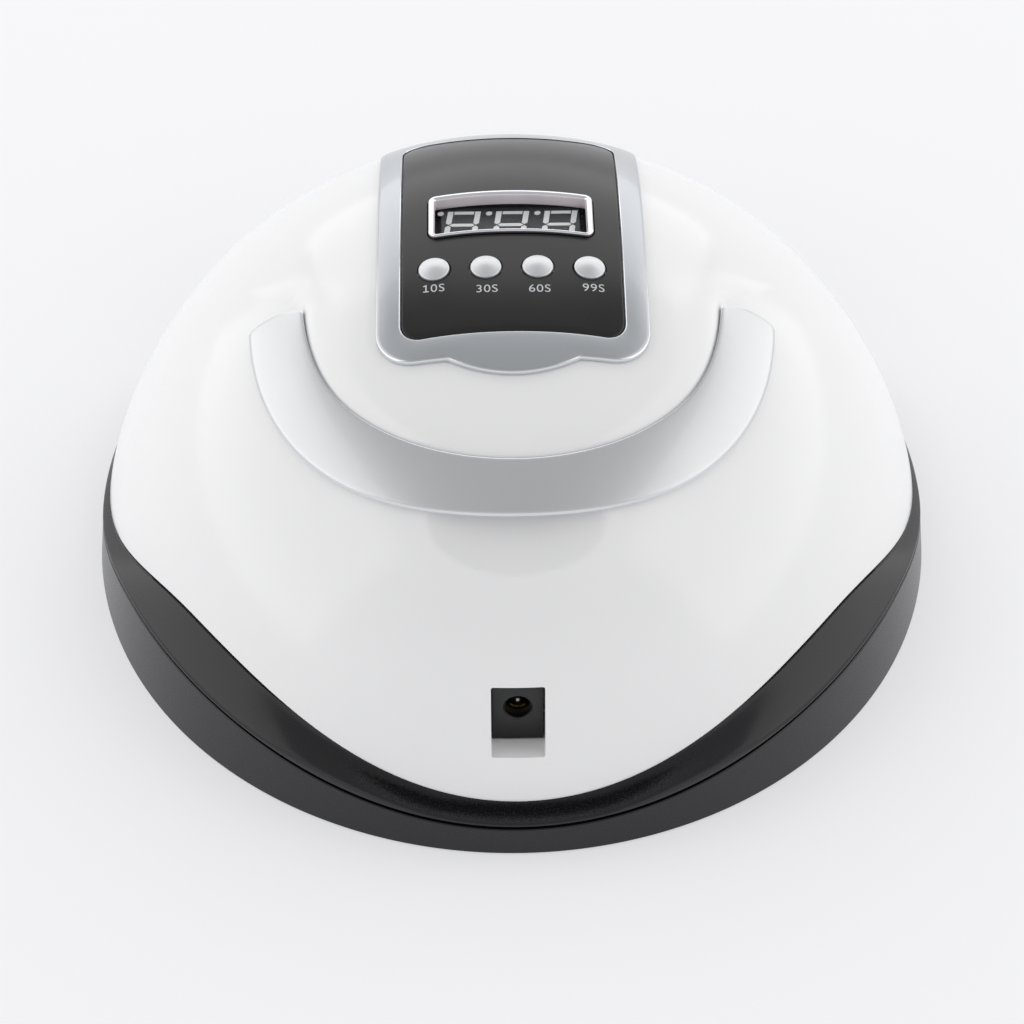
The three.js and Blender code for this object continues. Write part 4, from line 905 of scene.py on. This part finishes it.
# Outlines of one digit with all its bars, and its dot, about the middle of the digit
def digitOutlines():
    width, height = display["digitWidth"] / 2, display["digitHeight"] / 2
    upright, level, slit = display["upright"], display["level"] / 2, display["slit"]
    inner = width - upright - slit
    bar = [(width, height), (width - upright, height), (width - upright, level + slit),
           (width - upright / 2, slit), (width, level + slit)]
    outlines = [[(side * x, end * y) for x, y in bar] for side in (-1, 1) for end in (-1, 1)]
    for end in (-1, 1):
        low, high = end * (height - 2 * level), end * height
        outlines.append([(-inner, low), (inner, low), (inner, high), (-inner, high)])
    tip = width - upright / 2 - slit
    outlines.append([(-tip, 0), (-inner, level), (inner, level), (tip, 0), (inner, -level), (-inner, -level)])
    dot, x = display["dot"], -width - display["dotAway"]
    turns = [k * pi / 8 for k in range(16)]
    return outlines + [[(x + dot * cos(a), height - dot + dot * sin(a)) for a in turns]]


def makeDisplay():
    loop = panelLoop(bezel, bezel["wall"] + display["gap"])
    lens = prismMesh([[(x, y - display["y"], -display["lensThick"]) for x, y in loop]],
                     (0, 0, display["lensThick"]), displayMatrix)
    dress(pieceFrom("display_lens_plate", lens), smokedAcrylic, ["display_lens"])
    half, top = display["caseHalfWidth"], -display["lensThick"] - display["gap"]
    face = top - display["print"]
    case = boxMesh((-half, display["caseBack"], top - display["caseHeight"]),
                   (half, display["caseFront"], face), displayMatrix, display["caseCorner"])
    dress(pieceFrom("display_module_case", case), greyPotting, ["display_module"])
    lean = sin(radians(display["slant"]))
    outlines = [[(x + y * lean + digit * display["pitch"], y + display["digitY"], face) for x, y in outline]
                for digit in (-1, 0, 1) for outline in digitOutlines()]
    bars = prismMesh(outlines, (0, 0, display["print"]), displayMatrix)
    dress(pieceFrom("display_segments", bars), diodeWhite)


makeDisplay()
print("display ready")


# buttons and their labels

labels = {
    "size": 3.9, "height": 0.05, "sunk": 0.6, "spacing": 1.08, "weight": -0.02,
    "stemReach": 0.9, "footHalf": 0.75, "stroke": 0.36,
    "places": {"10s": (-20.7, -9.4), "30s": (-6.7, -10.5), "60s": (7.2, -10.6), "99s": (21.4, -9.8)},
}


def makeButton(time, x):
    y, radius, stem, flange, gap = (buttons[key] for key in ("y", "radius", "stem", "flange", "gap"))
    panelZ = heightAt(raisedDome, x, y)
    flangeTop = heightAt(raisedDome, abs(x) + flange, y - flange) - gap
    flangeLow, stemLow = flangeTop - buttons["flangeThick"], buttons["plungerTop"] + gap
    rise = panelZ + fascia["top"] + buttons["proud"] - buttons["domeRise"]
    profile = [(0, stemLow), (stem, stemLow), (stem, flangeLow), (flange, flangeLow), (flange, flangeTop),
               (radius, flangeTop)]
    profile += [(radius - inset, rise + up) for inset, up in buttons["shoulder"]]
    domeRadius, domeLow = profile[-1]
    for k in range(1, 13):
        climbed = (buttons["domeRise"] - buttons["shoulder"][-1][1]) * sin(k / 12 * pi / 2)
        profile.append((domeRadius * (1 - k / 12), domeLow + climbed))
    bm = turnedMesh(profile, 64, at(x, y))
    # The cap above its flange follows the slope of the panel
    for vert in bm.verts:
        if vert.co.z > (flangeTop + 0.5) * mm:
            vert.co.z += (heightAt(raisedDome, vert.co.x / mm, vert.co.y / mm) - panelZ) * mm
    dress(pieceFrom("button_cap_" + time, bm), metallisedCap, ["button_" + time], sharp=50,
          body="press_" + time)


def makeLabel(time, place):
    curve = bpy.data.curves.new("label", "FONT")
    curve.body, curve.size, curve.extrude = time.upper(), labels["size"], labels["height"]
    curve.align_x, curve.align_y = "CENTER", "CENTER"
    curve.space_character, curve.offset = labels["spacing"], labels["weight"]
    writer = bpy.data.objects.new("label", curve)
    bpy.context.scene.collection.objects.link(writer)
    mesh = evaluatedMesh(writer)
    bpy.data.objects.remove(writer)
    if time.startswith("1"):
        # The digit one gets its foot and its flag
        bm = bmesh.new()
        bm.from_mesh(mesh)
        stemEnd = min(vert.co.x for vert in bm.verts) + labels["stemReach"]
        stem = [vert.co for vert in bm.verts if vert.co.x < stemEnd]
        x = sum(co.x for co in stem) / len(stem)
        low, high = min(co.y for co in stem), max(co.y for co in stem)
        half, thick = labels["footHalf"], labels["stroke"]
        foot = [(x - half, low), (x + half, low), (x + half, low + thick), (x - half, low + thick)]
        flag = [(x, high), (x - half, high - thick), (x - half, high - 2 * thick), (x, high - thick)]
        for outline in (foot, flag):
            bm.faces.new([bm.verts.new((px, py, labels["height"])) for px, py in outline])
        bm.to_mesh(mesh)
        bm.free()
    for vert in mesh.vertices:
        x, y = place[0] + vert.co.x, place[1] + vert.co.y
        vert.co = Vector((x, y, heightAt(raisedDome, x, y) + fascia["top"] + vert.co.z * labels["sunk"])) * mm
    piece = bpy.data.objects.new("label_" + time, mesh)
    bpy.context.scene.collection.objects.link(piece)
    dress(piece, labelInk)


for time, x in buttons["places"].items():
    makeButton(time, x)
    makeLabel(time, labels["places"][time])
print("buttons ready")


# power inlet

def makeSocket():
    gap, hole = socket["gap"], socket["hole"]
    halfWidth, wide = socket["halfWidth"] - gap, hole + socket["holeFlare"]
    plate = boxMesh((-halfWidth, gap - socket["below"], -socket["plate"]),
                    (halfWidth, socket["above"] - gap, 0), socketMatrix, socket["plateCorner"])
    flared = turnedMesh([(0, -5), (hole, -5), (hole, -0.4), (wide, 0.05), (wide, 2), (0, 2)], 64,
                        socketMatrix)
    dress(pieceFrom("socket_face", plate, [flared]), mouldedBlack, ["socket_plate"])
    front = -socket["plate"] - gap
    low, across, up = front - socket["boreDepth"], socket["bodyHalfWidth"], socket["bodyHalfHeight"]
    barrel = pieceFrom("socket_barrel", boxMesh(
        (-across, -up, front - socket["bodyDepth"]), (across, up, front), socketMatrix, socket["bodyCorner"]),
        [cylinderMesh(socket["bore"], low, 5, socketMatrix, 48)])
    dress(barrel, mouldedBlack, ["socket_body"])
    floor = low + gap
    pin, tip = socket["pin"], floor + socket["pinLength"]
    profile = [(0, floor), (pin, floor), (pin, tip - pin)]
    profile += [(pin * cos(a), tip - pin + pin * sin(a)) for a in (pi / 10, pi / 5, 3 * pi / 10, 2 * pi / 5)]
    dress(pieceFrom("socket_centre_pin", turnedMesh(profile + [(0, tip)], 32, socketMatrix)), zincSteel,
          ["socket_pin"], sharp=60)
    half, outer = socket["springTurn"], socket["bore"] - gap
    table = [[socketMatrix @ around(mixOf(-half, half, k / 32), outer - inset, floor + z)
              for inset, z in socket["spring"]] for k in range(33)]
    dress(pieceFrom("socket_spring", sheetFrom(table, wrapRows=True, capped=True)), springBrass,
          ["socket_contact"])


makeSocket()
print("socket ready")


# hand chamber: lining, arch, lights and sensors

chamber = {"low": 6.9, "footWidth": 3, "footThick": 1.6, "columns": 200, "rows": 40, "gap": 0.3}


def liningColumn(angle):
    rows, low, top = chamber["rows"], chamber["low"], chamber["low"] + chamber["footThick"]
    column = [domePoint(liner, angle, pi / 2 * (1 - k / rows)) for k in range(rows + 1)]
    edge, lower = column[-1].to_2d(), domePoint(linerInner, angle, 0).to_2d()
    out = edge + edge.normalized() * chamber["footWidth"]
    column += [(*edge, top), (*out, top), (*out, low), (*lower, low)]
    return column + [domePoint(linerInner, angle, pi / 2 * k / rows) for k in range(rows + 1)]


def makeLining():
    steps = chamber["columns"]
    table = [liningColumn(2 * pi * k / steps - pi) for k in range(steps)]
    piece = pieceFrom("inner_reflector_lining", sheetFrom(table, wrapColumns=True),
                      [tunnelMesh(mouth["wall"] + 2 * chamber["gap"])])
    dress(piece, reflectorFilm, ["inner_reflector"], sharp=35)


trimPath = {
    "foot": 6.9, "proud": 0.8, "sideSteps": 14, "topSteps": 30,
    # Insets of the section, and places behind the skin or None for the back
    "section": [(0.3, None), (0.3, -1.2), (0.36, -0.6), (0.6, -0.15), (1.0, 0), (1.8, 0), (2.2, -0.15),
                (2.44, -0.6), (2.5, -1.2), (2.5, None)],
}
sensors = {"y": 52, "z": 24, "radius": 2.2, "length": 3.6, "dome": 1.2, "sunk": 0.3, "hole": 2.5}


def frontOf(surface, x, z, fallback):
    room = spreadAt(surface, z) ** 2 - (x / surface["halfWidth"]) ** 2
    return max(crown + (surface["front"] - crown) * sqrt(room), fallback) if room > 0 else fallback


def makeMouthTrim():
    skin = grown(dome, trimPath["proud"], dome["raised"])
    clear = grown(liner, chamber["gap"])
    clearFoot = grown(liner, chamber["footWidth"] + 2 * chamber["gap"])
    section, footTop = trimPath["section"], chamber["low"] + chamber["footThick"] + chamber["gap"]
    loops = [archOutline(inset, trimPath["foot"], trimPath["sideSteps"], trimPath["topSteps"])
             for inset, _ in section]
    table = []
    for places in zip(*loops):
        column = []
        for (x, z), (_, back) in zip(places, section):
            surface = skin if back is not None else clearFoot if z < footTop else clear
            column.append((x, frontOf(surface, x, z, mouth["start"]) + (back or 0), z))
        table.append(column)
    acrossX = at(0, sensors["y"], sensors["z"]) @ Matrix.Rotation(pi / 2, 4, "Y")
    piece = pieceFrom("mouth_trim_arch", sheetFrom(table, wrapRows=True, capped=True),
                      [cylinderMesh(sensors["hole"], -110, 110, acrossX, 32)])
    dress(piece, glossWhiteAbs, ["mouth_trim"], sharp=35)
    radius, length = sensors["radius"], sensors["length"]
    profile = [(0, 0), (radius, 0), (radius, length - 0.2), (radius - 0.2, length)]
    profile += [((radius - 0.4) * cos(a), length + sensors["dome"] * sin(a)) for a in (0, 0.3, 0.6, 0.9, 1.2)]
    for name, side in (("left", -1), ("right", 1)):
        place = at(side * (mouth["halfWidth"] - sensors["sunk"]), sensors["y"], sensors["z"])
        place = place @ Matrix.Rotation(-side * pi / 2, 4, "Y")
        eye = turnedMesh(profile + [(0, length + sensors["dome"])], 32, place)
        dress(pieceFrom("hand_sensor_eye_" + name, eye), blackAcrylic,
              ["hand_sensor_" + name], sharp=50)


strips = {
    "thick": 1.2, "height": 8, "steps": 140, "gap": 0.05, "package": 5.0, "packageRise": 0.8,
    "packageSunk": 0.4, "lensRadius": 2.1, "lensRise": 1.0,
    # Height, half turn, number of lights and their tilt down
    "rows": {"lower": (22, 106, 11, 0), "upper": (52, 112, 9, 35)},
    "topInner": 17, "topOuter": 27, "topDrop": 0.9, "topBeads": 6,
}


# One light: a square package with a domed lens, on the plane z = 0 of its matrix
def addLight(bm, matrix):
    size, rise, sunk = strips["package"], strips["packageRise"], strips["packageSunk"]
    before = set(bm.faces)
    cube = bmesh.ops.create_cube(bm, size=1)["verts"]
    bmesh.ops.scale(bm, vec=(size, size, rise + sunk), verts=cube)
    bmesh.ops.translate(bm, vec=(0, 0, (rise - sunk) / 2), verts=cube)
    upper = [e for e in {e for v in cube for e in v.link_edges} if all(v.co.z > rise / 2 for v in e.verts)]
    bevelEdges(bm, upper, 0.3, 2)
    package = set(bm.faces) - before
    for face in package:
        face.material_index = 1
    lens = bmesh.ops.create_uvsphere(bm, u_segments=20, v_segments=10, radius=1)["verts"]
    bmesh.ops.scale(bm, vec=(strips["lensRadius"], strips["lensRadius"], strips["lensRise"]), verts=lens)
    bmesh.ops.translate(bm, vec=(0, 0, rise), verts=lens)
    for face in set(bm.faces) - before - package:
        face.material_index = 2
    placed(bm, matrix, list({v for f in set(bm.faces) - before for v in f.verts}))


def makeStrips():
    clear = grown(linerInner, -chamber["gap"])
    looks = [whiteMask, diodeWhite, diodeEpoxy]
    thick, gap = strips["thick"], strips["gap"]
    for name, (z, half, count, tilt) in strips["rows"].items():
        low, high = z - strips["height"] / 2, z + strips["height"] / 2
        section = [(thick, low), (gap, low), (gap, z), (gap, high), (thick, high), (thick, z)]
        table = []
        for k in range(strips["steps"] + 1):
            turn = mixOf(-half, half, k / strips["steps"])
            table.append([around(turn, radiusAt(clear, turn, h) - inset, h) for inset, h in section])
        bm = sheetFrom(table, wrapRows=True, capped=True)
        for k in range(count):
            turn = mixOf(-half, half, (k + 0.5) / count)
            spot = around(turn, radiusAt(clear, turn, z) - thick, z)
            outward = domeNormal(clear, spot)
            inward = Vector((-outward.x, -outward.y, 0)).normalized() * cos(radians(tilt))
            inward.z = -sin(radians(tilt))
            addLight(bm, at(*spot) @ inward.to_track_quat("Z", "Y").to_matrix().to_4x4())
        dress(pieceFrom("led_strip_" + name + "_lights", bm), looks, ["led_strip_" + name])
    inner, outer = strips["topInner"], strips["topOuter"]
    roof = heightAt(linerInner, outer, crown) - strips["topDrop"]
    low = roof - thick
    ring = turnedMesh([(inner, low), (outer, low), (outer, roof), (inner, roof)], 64, at(0, crown))
    for k in range(strips["topBeads"]):
        spot = around(360 * k / strips["topBeads"], (inner + outer) / 2, low, crown)
        addLight(ring, at(*spot) @ Matrix.Rotation(pi, 4, "X"))
    dress(pieceFrom("led_ring_top_lights", ring), looks, ["led_strip_top"])


makeLining()
makeMouthTrim()
makeStrips()
print("chamber ready")


# tray, feet, magnets and screws

tray = {"low": 1, "top": 3.3, "radius": 113.76, "lipTop": 6.5, "lipWall": 2.6, "lipFrom": 111,
        "lipCorner": 0.4, "sides": 240}


def makeTray():
    low, top, radius, lipTop, start = (tray[key] for key in ("low", "top", "radius", "lipTop", "lipFrom"))
    piece = pieceFrom("base_tray_plate", turnedMesh([
        (0, low), (radius - 0.5, low), (radius, low + 0.5), (radius, top - 0.3), (radius - 0.3, top),
        (0, top)], tray["sides"]))
    outer, inner = base["radius"], base["radius"] - tray["lipWall"]
    lip = pieceFrom("lip", turnedMesh([
        (start, low), (outer - 0.4, low), (outer, low + 0.4), (outer, lipTop - 0.6),
        (outer - 0.2, lipTop - 0.2), (outer - 0.6, lipTop), (inner + 0.4, lipTop), (inner, lipTop - 0.4),
        (inner, top + 0.4), (inner - 0.4, top), (start, top)], tray["sides"]))
    half = base["frontHalfWidth"]
    carve(lip, [boxMesh((-half, mouth["start"], below), (half, mouth["end"], 15), None, tray["lipCorner"],
                        uprightOnly=True)], "INTERSECT")
    bm = bmesh.new()
    bm.from_mesh(lip.data)
    bpy.data.objects.remove(lip)
    carve(piece, [bm], "UNION")
    pocket = magnets["radius"] + magnets["gap"]
    cutters = [cylinderMesh(pocket, top - magnets["thick"], 20, at(*place)) for place in magnets["places"]]
    pocket, ceiling = feet["radius"] + feet["gap"], feet["thick"] + feet["gap"]
    cutters += [cylinderMesh(pocket, below, ceiling, at(*place)) for place in feet["places"]]
    carve(piece, cutters)
    dress(piece, satinCharcoalAbs, ["base_tray"], sharp=35, body="tray")


def makeFixings():
    radius, thick = feet["radius"], feet["thick"]
    profile = [(0, 0), (radius - 1.6, 0), (radius - 0.5, 0.05), (radius - 0.1, 0.35), (radius, 0.7),
               (radius, thick), (0, thick)]
    for index, place in enumerate(feet["places"], 1):
        pad = pieceFrom(f"foot_pad_{index}", turnedMesh(profile, 48, at(*place)))
        dress(pad, footRubber, [f"rubber_foot_{index}"], body="tray")
    radius, thick, edge = magnets["radius"], magnets["thick"] - magnets["gap"], 0.3
    profile = [(0, 0), (radius - edge, 0), (radius, edge), (radius, thick - edge), (radius - edge, thick),
               (0, thick)]
    for index, place in enumerate(magnets["places"], 1):
        disc = pieceFrom(f"magnet_disc_{index}", turnedMesh(profile, 48, at(*place, magnets["lampZ"])))
        dress(disc, nickelPlate, [f"magnet_{index}"])
        disc = pieceFrom(f"catch_disc_{index}", turnedMesh(profile, 48, at(*place, magnets["trayZ"])))
        dress(disc, zincSteel, [f"catch_plate_{index}"], body="tray")
    head, thick, shaft, length, z = (baseScrews[key] for key in ("head", "headThick", "shaft", "length", "z"))
    profile = [(0, 0), (head - 0.7, 0), (head - 0.2, 0.25), (head, 0.7), (head, thick), (shaft, thick)]
    for k in range(8):
        thread = thick + 0.4 + (length - thick - 0.9) * k / 8
        profile += [(shaft, thread), (shaft - 0.3, thread + 0.3)]
    profile += [(shaft, length - 0.4), (0, length)]
    for index, turn in enumerate(baseScrews["turns"], 1):
        x, y = around(turn, baseScrews["radius"]).to_2d()
        long, short = baseScrews["cross"]
        cross = [boxMesh((x - a, y - b, 0), (x + a, y + b, z + 1)) for a, b in ((long, short), (short, long))]
        screw = pieceFrom(f"cross_screw_{index}", turnedMesh(profile, 32, at(x, y, z)), cross)
        dress(screw, zincSteel, [f"base_screw_{index}"])


makeTray()
makeFixings()

# CAD nodes inside the housing keep their shape and get a fuller material
carried = {
    "control_board": greenMask, "driver_board": greenMask, "driver_capacitor": blueSleeve,
    "driver_choke": enamelCopper,
}
carried.update({f"board_screw_{k}": zincSteel for k in range(1, 5)})
carried.update({f"{kind}_{time}": mouldedBlack
                for kind in ("switch", "plunger") for time in buttons["places"]})
for name, material in carried.items():
    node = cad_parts[name]
    node.data.materials.clear()
    node.data.materials.append(material)
print("fixings ready")


# studio: pale floor, white walls all round, soft boxes left, right and beyond the lamp

studio = {
    "floor": "#f8f8fa", "floorSize": 3, "floorRough": 0.9, "floorGloss": 0.1, "backdropShare": 0.5,
    "backdropLevel": 1.0,
    "horizon": 1.0, "overhead": 0.54, "bandLow": 0.05, "bandHigh": 0.5, "world": "#fdfdff",
    "boxes": {
        "left": {"at": (-1.4, 0.1, 0.8), "size": (2.9, 1.5), "watts": 12.5},
        "right": {"at": (1.4, 0.1, 0.8), "size": (2.9, 1.5), "watts": 12.5},
        "back": {"at": (0, 1.7, 1.0), "size": (2.4, 1.4), "watts": 10.5},
    },
    "aim": (0, 0, 0.04),
    "camera": {"at": (-0.0106, -0.6470, 0.6891), "aim": (0.0002, 0.0069, 0.0), "lens": 115.45, "sensor": 36,
               "clipStart": 0.01},
}


# A light or camera that looks from one place to another
def aimed(name, data, spot, target):
    thing = bpy.data.objects.new(name, data)
    thing.location = spot
    thing.rotation_euler = (Vector(target) - thing.location).to_track_quat("-Z", "Y").to_euler()
    bpy.context.scene.collection.objects.link(thing)
    return thing


def makeStudio():
    scene = bpy.context.scene
    scene.view_settings.view_transform = "Standard"
    bm = bmesh.new()
    bmesh.ops.create_grid(bm, x_segments=2, y_segments=2, size=studio["floorSize"] / 2)
    floor = pieceFrom("studio_floor", bm)
    material = bpy.data.materials.new("painted studio floor")
    material.use_nodes = True
    tree = material.node_tree
    shader = tree.nodes["Principled BSDF"]
    colour = shader.inputs["Base Color"].default_value = linear(studio["floor"])
    shader.inputs["Roughness"].default_value = studio["floorRough"]
    shader.inputs["Specular IOR Level"].default_value = studio["floorGloss"]
    # The camera and the mirrors see the floor as partly backdrop, so that its shadows stay soft
    path = addNode(tree, "ShaderNodeLightPath").outputs
    share = path["Is Camera Ray"]
    for operation, other in (("ADD", path["Is Glossy Ray"]), ("ADD", path["Is Transmission Ray"]),
                             ("MULTIPLY", studio["backdropShare"])):
        share = addNode(tree, "ShaderNodeMath", {0: share, 1: other}, operation=operation).outputs[0]
    paper = addNode(tree, "ShaderNodeEmission", {"Color": colour, "Strength": studio["backdropLevel"]})
    both = addNode(tree, "ShaderNodeMixShader", {
        0: share, 1: shader.outputs["BSDF"], 2: paper.outputs["Emission"]})
    tree.links.new(both.outputs["Shader"], tree.nodes["Material Output"].inputs["Surface"])
    floor.data.materials.append(material)
    # White walls round the floor, darker overhead
    world = bpy.data.worlds.new("studio")
    world.use_nodes = True
    tree = world.node_tree
    height = addNode(tree, "ShaderNodeSeparateXYZ", {
        "Vector": addNode(tree, "ShaderNodeTexCoord").outputs["Generated"]}).outputs["Z"]
    strength = addNode(tree, "ShaderNodeMapRange", {
        "Value": height, "From Min": studio["bandLow"], "From Max": studio["bandHigh"],
        "To Min": studio["horizon"], "To Max": studio["overhead"]}, interpolation_type="SMOOTHSTEP")
    background = tree.nodes["Background"]
    background.inputs["Color"].default_value = linear(studio["world"])
    tree.links.new(strength.outputs["Result"], background.inputs["Strength"])
    scene.world = world
    for name, box in studio["boxes"].items():
        light = bpy.data.lights.new("softbox_" + name, "AREA")
        light.shape, light.energy = "RECTANGLE", box["watts"]
        light.size, light.size_y = box["size"]
        aimed("softbox_" + name, light, box["at"], studio["aim"])
    view = studio["camera"]
    data = bpy.data.cameras.new("camera")
    data.lens, data.sensor_width, data.clip_start = view["lens"], view["sensor"], view["clipStart"]
    scene.camera = aimed("camera", data, view["at"], view["aim"])


makeStudio()
print("studio ready")
